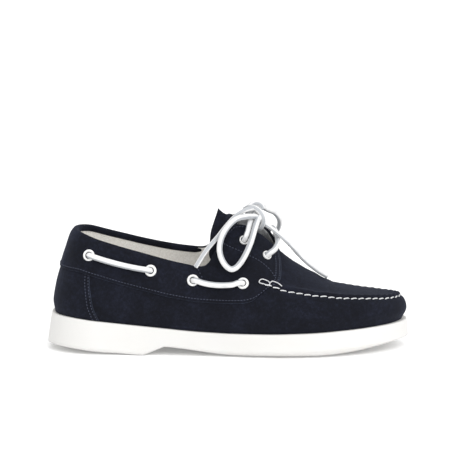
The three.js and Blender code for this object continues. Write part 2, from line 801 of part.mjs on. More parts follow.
function makeBar(name, row, route) {
  const [near, far] = [lateral, medial].map((side) => eyeletPlace(side, eyeletRows[row]));
  return makeLace(name, threaded(near, vectors(route), far), 4);
}

function makeKnot() {
  const geometry = new THREE.SphereGeometry(1, 10, 8).scale(...knot.radii).translate(...knot.centre);
  return piece("lace_knot", geometry, materials.lace);
}

// ---- Assembly ----

const shoe = new THREE.Group();
shoe.add(makeOutsole(), makeInsole(), makeUpper(), makeTongue());
for (const [side, sideName] of [[lateral, "lateral"], [medial, "medial"]]) {
  eyeletRows.forEach((row, i) => {
    const rim = i < upperEyelet ? eyelet.rim : eyelet.eyestayRim;
    shoe.add(makeEyelet(`eyelet_${sideName}_${i + 1}`, eyeletPlace(side, row), rim));
  });
  for (const run of sideRuns) shoe.add(makeSideRun(side, sideName, run));
}
shoe.add(makeBar("lace_upper_bar", upperEyelet, laceRoutes.upperBar));
shoe.add(makeBar("lace_lower_bar", lowerEyelet, laceRoutes.lowerBar));
shoe.add(makeKnot());
for (const name of ["nearLoop", "nearEnd", "farLoop", "farEnd"]) {
  const [, place, kind] = name.match(/(near|far)(Loop|End)/);
  const diameter = kind === "End" ? laceEndDiameter : laceDiameter;
  shoe.add(makeLace(`lace_${kind.toLowerCase()}_${place}`, vectors(laceRoutes[name]), 7.5, diameter));
}
const width = new THREE.Box3().setFromObject(shoe.getObjectByName("outsole"));
shoe.position.set(-soleLength / 2, -(width.min.y + width.max.y) / 2, 0);

export default shoe;
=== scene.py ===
# Navy suede boat shoe, right foot, standing empty on its sole.
# Sizes in the tables are millimetres: x from the back of the heel, y from the line of the heel,
# z from the floor. Meshes are made in metres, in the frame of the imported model.
import math

import bpy
import numpy as np
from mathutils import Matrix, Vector


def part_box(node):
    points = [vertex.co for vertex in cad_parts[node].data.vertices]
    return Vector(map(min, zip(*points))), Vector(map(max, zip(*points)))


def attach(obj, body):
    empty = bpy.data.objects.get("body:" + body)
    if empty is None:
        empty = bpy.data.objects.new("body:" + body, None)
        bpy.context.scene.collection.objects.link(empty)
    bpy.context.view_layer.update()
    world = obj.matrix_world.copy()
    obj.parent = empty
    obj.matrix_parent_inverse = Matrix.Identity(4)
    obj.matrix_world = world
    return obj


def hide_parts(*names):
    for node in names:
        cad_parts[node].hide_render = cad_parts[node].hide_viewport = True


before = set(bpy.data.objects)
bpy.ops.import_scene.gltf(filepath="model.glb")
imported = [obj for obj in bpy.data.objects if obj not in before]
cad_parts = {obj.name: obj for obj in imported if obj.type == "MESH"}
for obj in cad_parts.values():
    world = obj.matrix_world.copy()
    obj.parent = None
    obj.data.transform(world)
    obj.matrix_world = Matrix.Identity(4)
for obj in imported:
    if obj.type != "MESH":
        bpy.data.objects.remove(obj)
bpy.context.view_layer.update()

lateral, medial = -1, 1   # the outer and the inner side of the foot
perMetre = 1000           # millimetres

# the last that the upper is pulled over, and the wall that lies on it
last = {
    "length": 280,
    "gap": 0.3,                   # between pieces that touch
    "wall": 2.4,                  # suede and lining together
    "collarWall": 3.4,            # at the softly padded top edge
    "paddedLevels": (2.3, 3),     # the padding grows over these levels
    "paddingEnds": (120, 145),    # and fades out over this stretch
    "ledge": 3.4,                 # how far the upper stands in from the sole's widest line
    "heelReach": 60,              # stretches over which the ends' shifts fade out
    "toeReach": 60,
    "seamStart": 163,             # the moccasin seam runs from here round the toe and back
    "throatEnd": 180,
    "creaseGrows": (143, 168),    # the wall turns in at the seam more and more over this stretch
    "turnUp": 0.75, "turnIn": 0.5,    # which way the side wall heads as it comes up to the seam
    "plugRise": 0.18,             # the plug leaves the seam this much steeper
    "ridgeGrows": (172, 186),     # past here the plug's two halves meet level
}


def hermite(start, startSlope, end, endSlope, t):
    t2, t3 = t * t, t * t * t
    return (start * (2 * t3 - 3 * t2 + 1) + startSlope * (t3 - 2 * t2 + t)
            + end * (3 * t2 - 2 * t3) + endSlope * (t3 - t2))


# a smooth curve through (x, value) pairs that never overshoots them
def smoothCurve(xs, values):
    steps = np.diff(xs)
    slopes = np.diff(values) / steps
    tangents = np.concatenate([slopes[:1], np.zeros(len(xs) - 2), slopes[-1:]])
    for i in range(1, len(xs) - 1):
        before, after = slopes[i - 1], slopes[i]
        if before * after > 0:
            a, b = 2 * steps[i] + steps[i - 1], steps[i] + 2 * steps[i - 1]
            tangents[i] = (a + b) / (a / before + b / after)

    def at(x):
        x = np.clip(x, xs[0], xs[-1])
        i = np.clip(np.searchsorted(xs, x, side="right") - 1, 0, len(steps) - 1)
        t = (x - xs[i]) / steps[i]
        return hermite(values[i], tangents[i] * steps[i], values[i + 1], tangents[i + 1] * steps[i], t)
    return at


# rows of numbers with named columns; every column but the first becomes a curve over the first
def curves(names, rows):
    columns = np.array(rows, float).T
    return {name: smoothCurve(columns[0], column) for name, column in zip(names.split()[1:], columns[1:])}


def smoothStep(low, high, x):
    t = np.clip((x - low) / (high - low), 0, 1)
    return t * t * (3 - 2 * t)


def mix(a, b, t):
    return a + (b - a) * t


def unit(v):
    return v / np.maximum(np.linalg.norm(v, axis=-1, keepdims=True), 1e-12)


def lengthOf(v):
    return np.linalg.norm(v, axis=-1, keepdims=True)


# how far along a line each of its points lies
def travelledAlong(line):
    return np.concatenate([[0], np.cumsum(np.linalg.norm(np.diff(line, axis=0), axis=1))])


solePlan = curves("x centre half", [
    [0, 0, 35.6], [40, 0, 36], [75, -0.8, 36], [91, -2, 35.8], [105, -3.2, 36], [120, -4, 37.4],
    [141, -4, 41], [164, -2.8, 45.8], [182, -1.3, 48.8], [200, 0, 49.7], [215, 1.2, 49.5],
    [232, 2.4, 48.8], [280, 5, 48.8],
])
soleTop = curves("x z", [
    [0, 28.9], [17, 28.2], [45, 25.2], [82, 21.5], [118, 18.7], [141, 18.1], [164, 18.2],
    [200, 19.1], [232, 20.5], [256, 21.5], [280, 22],
])
soleBottom = curves("x centre edge", [
    [0, 4.6, 5.6], [12, 3.8, 6.2], [26, 2.4, 5.3], [40, 0.7, 4], [50, 0, 3.2], [75.5, 0, 0.6],
    [91, 7, 7.1], [105, 5.4, 6], [118, 3, 4.9], [132, 0.8, 4.5], [144, 0, 4.5], [164, 0, 4.8],
    [182, 0, 5.2], [206, 0, 6.1], [218, 0.5, 6.7], [232, 1.8, 7.3], [251, 4.6, 8.2],
    [265, 6.9, 8.7], [280, 9, 9.2],
])
bellyLine = curves("x swell rise", [
    [0, 1.2, 9.5], [60, 2, 12], [105, 3, 14], [200, 2.2, 13], [250, 2.4, 10.5], [280, 2.6, 8.8],
])
seamLine = curves("x insetLateral insetMedial zLateral zMedial", [
    [0, 3.6, 3.6, 58, 58], [40, 3, 3, 56, 56], [75, 2.4, 1.8, 51.5, 51.5],
    [100, 2.6, 1, 50.5, 50.5], [120, 4.2, 2, 54, 54], [141, 7.6, 6, 57.5, 57.5],
    [163, 9.5, 8.8, 56.4, 56.4], [171, 9.7, 9.4, 54, 54], [180, 9.7, 9.7, 51.6, 51.5],
    [198, 9.6, 9.8, 48.4, 47.2], [221, 9.2, 11, 45.2, 42], [246, 10, 12, 42.8, 39.3],
    [262, 10, 12, 41.3, 38.7], [280, 10, 10, 39.9, 39.9],
])
topLine = curves("x lateral medial zLateral zMedial", [
    [21, 27, 27.4, 93.2, 93.2], [30, 27, 27.4, 90.4, 91.5], [42, 27.2, 27.8, 86.5, 88],
    [58, 28.6, 29, 81.7, 83.8], [78, 30, 29.6, 76.3, 79], [93, 31, 29.8, 72.3, 76],
    [108, 31.5, 29.8, 69, 73.8], [118, 31.3, 29.6, 67.4, 73], [122, 30.8, 29.4, 67.9, 73.4],
    [125, 29.7, 28.9, 70.5, 75.6], [129, 27.6, 27.6, 77.5, 82], [134, 24.5, 25.4, 86, 90.5],
    [140, 20.3, 21.6, 93, 97.2], [147, 16.3, 17.6, 97.6, 101.4], [152, 14.3, 15.8, 97, 101],
    [161, 12, 13.6, 92.1, 97], [171, 9, 11.4, 84.2, 89.6], [176, 6.2, 8.2, 79.2, 83],
    [180, -1, 1, 74.8, 74.8], [195, -2, 2, 63.6, 63.6], [211, -3, 3, 54.4, 54.4],
    [219, -3.3, 3.3, 50.2, 50.2], [230, -3.8, 3.8, 46.9, 46.9], [240, -4.2, 4.2, 45, 45],
    [250, -4.6, 4.6, 43.5, 43.5], [262, -5, 5, 42.3, 42.3],
])
endsIn = {
    "feather": {"heel": 6.5, "toe": 5},
    "belly": {"heel": 5.3, "toe": 1.7},
    "seam": {"heel": 9.2, "toe": 6.5},
    "top": {"heel": 21, "toe": 17},
}
heelRound = {"length": 40, "power": 2.2}
toeRound = {"length": 75, "power": 1.9}
collarRound = {"length": 24, "power": 2.2}


# 0 at the very end of a rounded plan, 1 once the distance passes the rounding's length
def roundOff(distance, rounding):
    rest = np.clip(1 - distance / rounding["length"], 0, 1)
    return (1 - rest ** rounding["power"]) ** (1 / rounding["power"])


# point of a line that runs round the shoe, inset from the sole's widest line
def planPoint(side, x, inset, ends, height):
    heelShift = ends["heel"] * np.maximum(0, 1 - x / last["heelReach"]) ** 2
    toeShift = ends["toe"] * np.maximum(0, 1 - (last["length"] - x) / last["toeReach"]) ** 2
    half = solePlan["half"](x) * roundOff(x, heelRound) * roundOff(last["length"] - x, toeRound)
    half = half * (1 - inset / solePlan["half"](x))
    ownX = x + heelShift - toeShift
    return np.stack([ownX, solePlan["centre"](x) + side * half, height(ownX)], axis=-1)


def featherPoint(side, x):
    return planPoint(side, x, last["ledge"], endsIn["feather"],
                     lambda own: soleTop["z"](own) + last["gap"])


def bellyPoint(side, x):
    inset = last["ledge"] - bellyLine["swell"](x)
    return planPoint(side, x, inset, endsIn["belly"],
                     lambda own: soleTop["z"](own) + bellyLine["rise"](own))


def seamPoint(side, x):
    sideName = "Lateral" if side == lateral else "Medial"
    return planPoint(side, x, seamLine["inset" + sideName](x), endsIn["seam"], seamLine["z" + sideName])


def topPoint(side, x):
    height = topLine["zLateral" if side == lateral else "zMedial"]
    point = planPoint(side, x, 0, endsIn["top"], height)
    width = topLine["lateral" if side == lateral else "medial"](point[..., 0])
    point[..., 1] = side * width * roundOff(point[..., 0] - endsIn["top"]["heel"], collarRound)
    return point


# point of the upper's outer face; level runs 0 feather line, 1 belly, 2 seam, 3 top line
def wallPoint(side, x, level):
    x, level = np.broadcast_arrays(np.asarray(x, float), np.asarray(level, float))
    feather, belly, seam, top = (line(side, x) for line in (featherPoint, bellyPoint, seamPoint, topPoint))
    t = level[..., None]
    crease = smoothStep(*last["creaseGrows"], x)[..., None]
    inward = unit((top - seam) * [1, 1, 0])
    straight = unit(top - belly)
    atBelly = unit(seam - feather)
    low = hermite(feather, belly - feather, belly, atBelly * lengthOf(belly - feather), t)
    rolled = unit(unit(seam - belly) * last["turnUp"] + inward * last["turnIn"])
    length = lengthOf(seam - belly)
    middle = hermite(belly, atBelly * length, seam, unit(mix(straight, rolled, crease)) * length, t - 1)
    length = lengthOf(top - seam)
    rise = unit(top - seam)
    fromSeam = unit(mix(straight, unit(rise + [0, 0, last["plugRise"]]), crease))
    onRidge = smoothStep(*last["ridgeGrows"], x)[..., None]
    high = hermite(seam, fromSeam * length, top, unit(mix(rise, inward, onRidge)) * length, t - 2)
    return np.where(t < 1, low, np.where(t < 2, middle, high))


def wallNormal(side, x, level):
    step = 0.01
    ahead = wallPoint(side, x + step, level) - wallPoint(side, x - step, level)
    upward = wallPoint(side, x, level + step) - wallPoint(side, x, level - step)
    return unit(np.cross(ahead, upward) * -side)


# the level at which the wall reaches a height, at stations x
def levelAt(side, x, z, low=0.5, high=2.99):
    x, z = np.broadcast_arrays(np.asarray(x, float), np.asarray(z, float))
    low, high = np.full(x.shape, float(low)), np.full(x.shape, float(high))
    for _ in range(30):   # halvings
        middle = (low + high) / 2
        below = wallPoint(side, x, middle)[..., 2] < z
        low, high = np.where(below, middle, low), np.where(below, high, middle)
    return (low + high) / 2


# station and level of the point of the wall at a given x and height
def wallPlace(side, x, z):
    station = np.asarray(x, float)
    for _ in range(12):
        level = levelAt(side, station, z)
        station = station + (x - wallPoint(side, station, level)[..., 0])
    return station, levelAt(side, station, z)


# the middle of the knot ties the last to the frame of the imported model
knot = {"centre": (162, 0, 103.3), "thickness": 4.2}
knotMiddle = np.mean([list(corner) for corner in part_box("lace_knot")], axis=0)
frameShift = knotMiddle - np.array(knot["centre"]) / perMetre


# millimetres on the last to metres in the frame
def placed(points):
    return np.asarray(points, float) / perMetre + frameShift


def addObject(name, data):
    added = bpy.data.objects.new(name, data)
    bpy.context.scene.collection.objects.link(added)
    return added


def makeMesh(name, points, faces, materials, faceMaterials=None):
    mesh = bpy.data.meshes.new(name)
    mesh.from_pydata(placed(points).tolist(), [], [list(map(int, face)) for face in faces])
    for material in materials:
        mesh.materials.append(material)
    if faceMaterials is not None:
        mesh.polygons.foreach_set("material_index", faceMaterials)
    mesh.shade_smooth()
    return addObject(name, mesh)


# makes a piece ride on the shoe and hides the CAD nodes that it stands for; the name of its finish is not
# used
def fitPiece(piece, slotName, *nodes):
    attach(piece, "root")
    if nodes:
        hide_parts(*nodes)
    return piece


# quads between neighbouring columns of a grid whose point (column, row) has the number column * rows + row
def gridFaces(columns, rows, closed=False):
    faces = []
    for i in range(columns if closed else columns - 1):
        after = (i + 1) % columns
        for j in range(rows - 1):
            faces.append((i * rows + j, after * rows + j, after * rows + j + 1, i * rows + j + 1))
    return faces


# merges points that lie on each other, and drops the faces that this leaves empty; gives which
# points are kept, and the new faces
def welded(points, faces):
    _, first, number = np.unique(np.round(points, 4), axis=0, return_index=True, return_inverse=True)
    number = number.reshape(-1)
    kept = []
    for face in faces:
        corners = list(dict.fromkeys(number[list(face)].tolist()))
        if len(corners) > 2:
            kept.append(tuple(corners))
    return first, kept


def vertexNormals(points, faces):
    normals = np.zeros_like(points)
    for face in faces:
        a, b, c = points[face[0]], points[face[1]], points[face[2]]
        d = points[face[-1]]
        normal = np.cross(c - a, d - b) if len(face) == 4 else np.cross(b - a, c - a)
        for corner in face:
            normals[corner] += normal
    return unit(normals)


# a closed body from an outer skin and its inner copy; strips join them along every open edge
def closedShell(outer, inner, faces):
    count = len(outer)
    borders = {}
    for face in faces:
        for a, b in zip(face, face[1:] + face[:1]):
            if (b, a) in borders:
                del borders[(b, a)]
            else:
                borders[(a, b)] = True
    inside = [tuple(corner + count for corner in reversed(face)) for face in faces]
    strips = [(b, a, a + count, b + count) for a, b in borders]
    return np.concatenate([outer, inner]), list(faces) + inside + strips, len(strips)


# stations between two x, evenly spaced along the upper's belly line
def evenStations(start, end, spacing):
    fine = np.linspace(start, end, 600)
    line = (bellyPoint(medial, fine) + seamPoint(medial, fine)) / 2
    travelled = travelledAlong(line)
    count = max(2, int(round(travelled[-1] / spacing)) + 1)
    return np.interp(np.linspace(0, travelled[-1], count), travelled, fine)


# a smooth line through given points, sampled at even steps
def smoothPath(points, spacing, samples=24):
    points = np.asarray(points, float)
    points = np.vstack([2 * points[0] - points[1], points, 2 * points[-1] - points[-2]])
    line = []
    for p0, p1, p2, p3 in zip(points, points[1:], points[2:], points[3:]):
        d0, d1, d2 = (max(np.linalg.norm(b - a) ** 0.5, 1e-4) for a, b in ((p0, p1), (p1, p2), (p2, p3)))
        out = ((p1 - p0) / d0 - (p2 - p0) / (d0 + d1) + (p2 - p1) / d1) * d1
        into = ((p2 - p1) / d1 - (p3 - p1) / (d1 + d2) + (p3 - p2) / d2) * d1
        t = np.linspace(0, 1, samples, endpoint=False)[:, None]
        line.append(hermite(p1, out, p2, into, t))
    line = np.vstack(line + [points[-2:-1]])
    travelled = travelledAlong(line)
    steps = np.linspace(0, travelled[-1], int(round(travelled[-1] / spacing)) + 1)
    return np.stack([np.interp(steps, travelled, line[:, axis]) for axis in range(3)], axis=1)


def pathLength(line):
    return float(np.linalg.norm(np.diff(line, axis=0), axis=1).sum())


def colour(hexValue):
    channels = [int(hexValue[i:i + 2], 16) / 255 for i in (1, 3, 5)]
    return [c / 12.92 if c <= 0.04045 else ((c + 0.055) / 1.055) ** 2.4 for c in channels] + [1]


# adds a node with its settings; an input is a value or another node's output
def addNode(tree, kind, settings=None, inputs=None):
    node = tree.nodes.new(kind)
    for name, value in (settings or {}).items():
        setattr(node, name, value)
    for name, value in (inputs or {}).items():
        if isinstance(value, bpy.types.NodeSocket):
            tree.links.new(value, node.inputs[name])
        else:
            node.inputs[name].default_value = value
    return node


# an empty material, its node tree, and the place on the object that its patterns are drawn by
def startMaterial(name):
    material = bpy.data.materials.new(name)
    material.use_nodes = True
    tree = material.node_tree
    tree.nodes.clear()
    return material, tree, addNode(tree, "ShaderNodeTexCoord").outputs["Object"]


def finishMaterial(material, finish):
    tree = material.node_tree
    surface = addNode(tree, "ShaderNodeBsdfPrincipled", inputs=finish)
    addNode(tree, "ShaderNodeOutputMaterial", inputs={"Surface": surface.outputs[0]})
    return material


# Suede: split hide whose brushed nap stands in fibres a few tenths of a millimetre long. No gloss;
# colour drifts in clouds where the nap leans another way, and a soft pale sheen shows at the rims.
def brushedSuede(name, dark, mid, light, sheenTint):
    material, tree, place = startMaterial(name)
    clouds = addNode(tree, "ShaderNodeTexNoise", inputs={
        "Vector": place, "Scale": 55, "Detail": 4, "Roughness": 0.6, "Distortion": 0.6})   # 18 mm
    mottle = addNode(tree, "ShaderNodeTexNoise", inputs={
        "Vector": place, "Scale": 420, "Detail": 3, "Roughness": 0.65})   # 2.4 mm
    nap = addNode(tree, "ShaderNodeTexNoise", inputs={
        "Vector": place, "Scale": 1500, "Detail": 3, "Roughness": 0.7})   # 0.7 mm, coarser than the nap
    faint = addNode(tree, "ShaderNodeMath", {"operation": "MULTIPLY"}, {0: clouds.outputs["Fac"], 1: 0.55})
    blend = addNode(tree, "ShaderNodeMath", {"operation": "MULTIPLY_ADD"}, {
        0: mottle.outputs["Fac"], 1: 0.5, 2: faint.outputs[0]})
    fine = addNode(tree, "ShaderNodeMath", {"operation": "MULTIPLY_ADD"}, {
        0: nap.outputs["Fac"], 1: 0.55, 2: blend.outputs[0]})
    ramp = addNode(tree, "ShaderNodeValToRGB", inputs={"Fac": fine.outputs[0]})
    stops = ramp.color_ramp.elements
    stops[0].position, stops[0].color = 0.6, colour(dark)
    stops[1].position, stops[1].color = 1, colour(light)
    middle = stops.new(0.8)
    middle.color = colour(mid)
    height = addNode(tree, "ShaderNodeMath", {"operation": "MULTIPLY_ADD"}, {
        0: mottle.outputs["Fac"], 1: 0.8, 2: nap.outputs["Fac"]})
    bump = addNode(tree, "ShaderNodeBump", inputs={
        "Strength": 0.55, "Distance": 0.0004, "Height": height.outputs[0]})
    return finishMaterial(material, {
        "Base Color": ramp.outputs["Color"], "Roughness": 0.93, "Specular IOR Level": 0.18,
        "Sheen Weight": 0.1, "Sheen Roughness": 0.45, "Sheen Tint": colour(sheenTint),
        "Normal": bump.outputs["Normal"]})


bandsPerScale = 3.14   # bands that a wave texture of scale 1 has in a metre


# Woven cotton lining: plain weave about 0.6 mm apart, matt, with darker flecks in the yarn.
def wovenLining(name, base, fleck, threadsPerMetre, fleckAmount):
    material, tree, place = startMaterial(name)
    warp = addNode(tree, "ShaderNodeTexWave", {"bands_direction": "X"}, {
        "Vector": place, "Scale": threadsPerMetre / bandsPerScale, "Distortion": 1.2, "Detail": 1})
    weft = addNode(tree, "ShaderNodeTexWave", {"bands_direction": "Z"}, {
        "Vector": place, "Scale": threadsPerMetre / bandsPerScale, "Distortion": 1.2, "Detail": 1})
    weave = addNode(tree, "ShaderNodeMath", {"operation": "MAXIMUM"}, {
        0: warp.outputs["Fac"], 1: weft.outputs["Fac"]})
    flecks = addNode(tree, "ShaderNodeTexNoise", inputs={
        "Vector": place, "Scale": 700, "Detail": 3, "Roughness": 0.75})   # 1.4 mm
    shade = addNode(tree, "ShaderNodeMapRange", inputs={
        "Value": flecks.outputs["Fac"], "From Min": 0.35, "From Max": 0.62, "To Min": fleckAmount,
        "To Max": 0})
    tint = addNode(tree, "ShaderNodeMix", {"data_type": "RGBA"}, {
        0: shade.outputs[0], 6: colour(base), 7: colour(fleck)})
    bump = addNode(tree, "ShaderNodeBump", inputs={
        "Strength": 0.5, "Distance": 0.00025, "Height": weave.outputs[0]})
    return finishMaterial(material, {
        "Base Color": tint.outputs[2], "Roughness": 0.9, "Specular IOR Level": 0.2,
        "Sheen Weight": 0.15, "Normal": bump.outputs["Normal"]})


# Moulded rubber: satin white compound with the faint fine grain of a blasted mould and a few
# slightly yellower clouds.
def mouldedRubber(name, base, warm):
    material, tree, place = startMaterial(name)
    clouds = addNode(tree, "ShaderNodeTexNoise", inputs={
        "Vector": place, "Scale": 28, "Detail": 3, "Roughness": 0.55})   # 36 mm
    grain = addNode(tree, "ShaderNodeTexNoise", inputs={
        "Vector": place, "Scale": 1900, "Detail": 2, "Roughness": 0.6})   # 0.5 mm
    tint = addNode(tree, "ShaderNodeMix", {"data_type": "RGBA"}, {
        0: clouds.outputs["Fac"], 6: colour(base), 7: colour(warm)})
    gloss = addNode(tree, "ShaderNodeMapRange", inputs={
        "Value": clouds.outputs["Fac"], "To Min": 0.42, "To Max": 0.56})
    bump = addNode(tree, "ShaderNodeBump", inputs={
        "Strength": 0.18, "Distance": 0.00012, "Height": grain.outputs["Fac"]})
    return finishMaterial(material, {
        "Base Color": tint.outputs[2], "Roughness": gloss.outputs[0], "IOR": 1.52,
        "Normal": bump.outputs["Normal"]})


# Lace of white leather, cut square and rolled: smooth and softly waxed on its faces, with painted shade
# on two opposite sides of its section, fine lengthwise grain lines and a little handling dirt in random
# patches.
def rolledLace(name, base, dirtAndShade, thickness):
    material, tree, place = startMaterial(name)
    flow = addNode(tree, "ShaderNodeUVMap", {"uv_map": "alongLace"}).outputs["UV"]   # metres along, round
    stretch = addNode(tree, "ShaderNodeMapping", inputs={"Vector": flow, "Scale": (90, 900, 1)})
    lines = addNode(tree, "ShaderNodeTexNoise", inputs={
        "Vector": stretch.outputs[0], "Scale": 1.6, "Detail": 3, "Roughness": 0.6})
    patches = addNode(tree, "ShaderNodeTexNoise", inputs={
        "Vector": place, "Scale": 160, "Detail": 3, "Roughness": 0.6})   # 6 mm
    amount = addNode(tree, "ShaderNodeMapRange", inputs={
        "Value": patches.outputs["Fac"], "From Min": 0.45, "From Max": 0.75, "To Min": 0, "To Max": 0.35})
    across = addNode(tree, "ShaderNodeSeparateXYZ", inputs={"Vector": flow})
    turn = addNode(tree, "ShaderNodeMath", {"operation": "MULTIPLY"}, {   # painted shade: two opposite sides in a round
        0: across.outputs["Y"], 1: 4 * math.pi / (math.pi * thickness / perMetre)})
    sides = addNode(tree, "ShaderNodeMath", {"operation": "COSINE"}, {0: turn.outputs[0]})
    # painted shade: the section's two greyer sides stand in for the shading along the lace's edges
    paintedShadeSides = addNode(tree, "ShaderNodeMapRange", {"interpolation_type": "SMOOTHSTEP"}, {
        "Value": sides.outputs[0], "From Min": 0.1, "From Max": 0.75, "To Min": 0, "To Max": 0.75})
    dirtAndShadeShare = addNode(tree, "ShaderNodeMath", {"operation": "MAXIMUM"}, {
        0: amount.outputs[0], 1: paintedShadeSides.outputs[0]})
    tint = addNode(tree, "ShaderNodeMix", {"data_type": "RGBA"}, {
        0: dirtAndShadeShare.outputs[0], 6: colour(base), 7: colour(dirtAndShade)})
    bump = addNode(tree, "ShaderNodeBump", inputs={
        "Strength": 0.3, "Distance": 0.00015, "Height": lines.outputs["Fac"]})
    return finishMaterial(material, {
        "Base Color": tint.outputs[2], "Roughness": 0.5, "IOR": 1.48, "Normal": bump.outputs["Normal"]})


# Enamelled brass eyelet: pressed ring under baked white enamel, glossy, slightly uneven.
def bakedEnamel(name, base):
    material, tree, place = startMaterial(name)
    ripple = addNode(tree, "ShaderNodeTexNoise", inputs={"Vector": place, "Scale": 500, "Detail": 2})
    gloss = addNode(tree, "ShaderNodeMapRange", inputs={
        "Value": ripple.outputs["Fac"], "To Min": 0.2, "To Max": 0.38})
    bump = addNode(tree, "ShaderNodeBump", inputs={
        "Strength": 0.15, "Distance": 0.0001, "Height": ripple.outputs["Fac"]})
    return finishMaterial(material, {
        "Base Color": colour(base), "Roughness": gloss.outputs[0], "Coat Weight": 0.4,
        "Coat Roughness": 0.15, "Normal": bump.outputs["Normal"]})


# Waxed sewing thread: twisted polyester, its twist drawn as slanted ribs of about half a millimetre,
# coarser than the real one so that they show.
def waxedThread(name, base, shadow, ribsPerMetre):
    material, tree, place = startMaterial(name)
    twist = addNode(tree, "ShaderNodeTexWave", {"bands_direction": "DIAGONAL"}, {
        "Vector": place, "Scale": ribsPerMetre / bandsPerScale, "Distortion": 0.6})
    tint = addNode(tree, "ShaderNodeMix", {"data_type": "RGBA"}, {
        0: twist.outputs["Fac"], 6: colour(shadow), 7: colour(base)})
    bump = addNode(tree, "ShaderNodeBump", inputs={
        "Strength": 0.4, "Distance": 0.00015, "Height": twist.outputs["Fac"]})
    return finishMaterial(material, {
        "Base Color": tint.outputs[2], "Roughness": 0.62, "Normal": bump.outputs["Normal"]})


# Matt white acrylic of a shooting table, lit a little from below, which softens every shadow on it.
# Its faint grain is 3 mm.
def litAcrylic(name, base, glow):
    material, tree, place = startMaterial(name)
    grain = addNode(tree, "ShaderNodeTexNoise", inputs={"Vector": place, "Scale": 300, "Detail": 2})
    bump = addNode(tree, "ShaderNodeBump", inputs={
        "Strength": 0.05, "Distance": 0.0002, "Height": grain.outputs["Fac"]})
    return finishMaterial(material, {
        "Base Color": colour(base), "Roughness": 0.9, "Specular IOR Level": 0.1,
        "Emission Color": colour(base), "Emission Strength": glow,
        "Normal": bump.outputs["Normal"]})


navySuede = brushedSuede("brushed_suede_navy", "#0a0b11", "#10121b", "#1b1e2b", "#8f9cc4")
# paler raw suede edge, also a painted highlight along the saddle's lower edge and the layers' front ends
paleEdgeAndHighlight = brushedSuede("raw_suede_edge_pale_highlight", "#20242e", "#2a2f3b", "#3a404e", "#9aa4c4")
cutEdge = brushedSuede("raw_suede_edge_dark", "#0c0d12", "#14161c", "#1c1f28", "#6f7890")
greyLining = brushedSuede("split_leather_lining_grey", "#adafb1", "#cbcccd", "#e2e2e1", "#ffffff")
collarLining = wovenLining("woven_cotton_lining", "#f8f6f2", "#bdb8ad", 1700, 0.35)
sockCloth = wovenLining("woven_sock_cloth", "#d6d1c8", "#9a9385", 1700, 0.4)
whiteRubber = mouldedRubber("moulded_rubber_white", "#dadad9", "#d7d5d1")
# the second colour is the grey of the lace's dirt patches and of its painted shade sides
whiteLace = rolledLace("rolled_leather_lace_white", "#e6e6e6", "#969ba1", knot["thickness"])
whiteEnamel = bakedEnamel("baked_enamel_white", "#ebebea")
whiteThread = waxedThread("waxed_thread_white", "#ececec", "#aeb0b4", 1700)
navyThread = waxedThread("waxed_thread_navy", "#3f4558", "#242938", 2600)
print("materials made")

view = {
    "aim": (0, 0, 0.045),        # the point that the elevation and distance are measured from
    "elevation": 10.5,
    "distance": 1.6,
    "frame": (455, 455),
    "aimAt": (228.5, 288.7),     # where that point falls in the frame, from its top left corner
    "focal": 2065.1,             # in the frame's units
    "sensor": 36,
    "clip": (0.05, 40),
}


def makeCamera():
    lift, out = math.sin(math.radians(view["elevation"])), math.cos(math.radians(view["elevation"]))
    spot = Vector(view["aim"]) + view["distance"] * Vector((0, -out, lift))
    right = (view["aimAt"][0] - view["frame"][0] / 2) / view["focal"]
    down = (view["aimAt"][1] - view["frame"][1] / 2) / view["focal"]
    tilt = math.radians(90 - view["elevation"]) + math.atan(down)
    camera = addObject("camera", bpy.data.cameras.new("camera"))
    camera.data.sensor_width = view["sensor"]
    camera.data.lens = view["focal"] * view["sensor"] / view["frame"][0]
    camera.data.clip_start, camera.data.clip_end = view["clip"]
    camera.location = spot
    camera.rotation_euler = (tilt, 0, math.atan(right))
    bpy.context.scene.camera = camera


makeCamera()
print("camera placed")

lace = {
    "thickness": 4.2, "endThickness": 3.3, "spacing": 1.1, "sides": 20,
    "squareness": 2.9,                            # 2 is round
    "endRound": 0.5,                              # how far the ends bulge, in radii
    "endRings": [(0.02, -0.55), (0.72, -0.2)],    # radius, and how far along in shares of that bulge
    "leadOut": [(0, -1.6), (0.1, 0.6), (0.9, 3.0), (3.4, 4.5)],   # ahead and outward from an eyelet
    "runShares": (0.2, 0.35, 0.5, 0.65, 0.8),     # where a run along the quarter is held to the wall
    "runGap": 1.1,                                # that run lies on the saddle
}
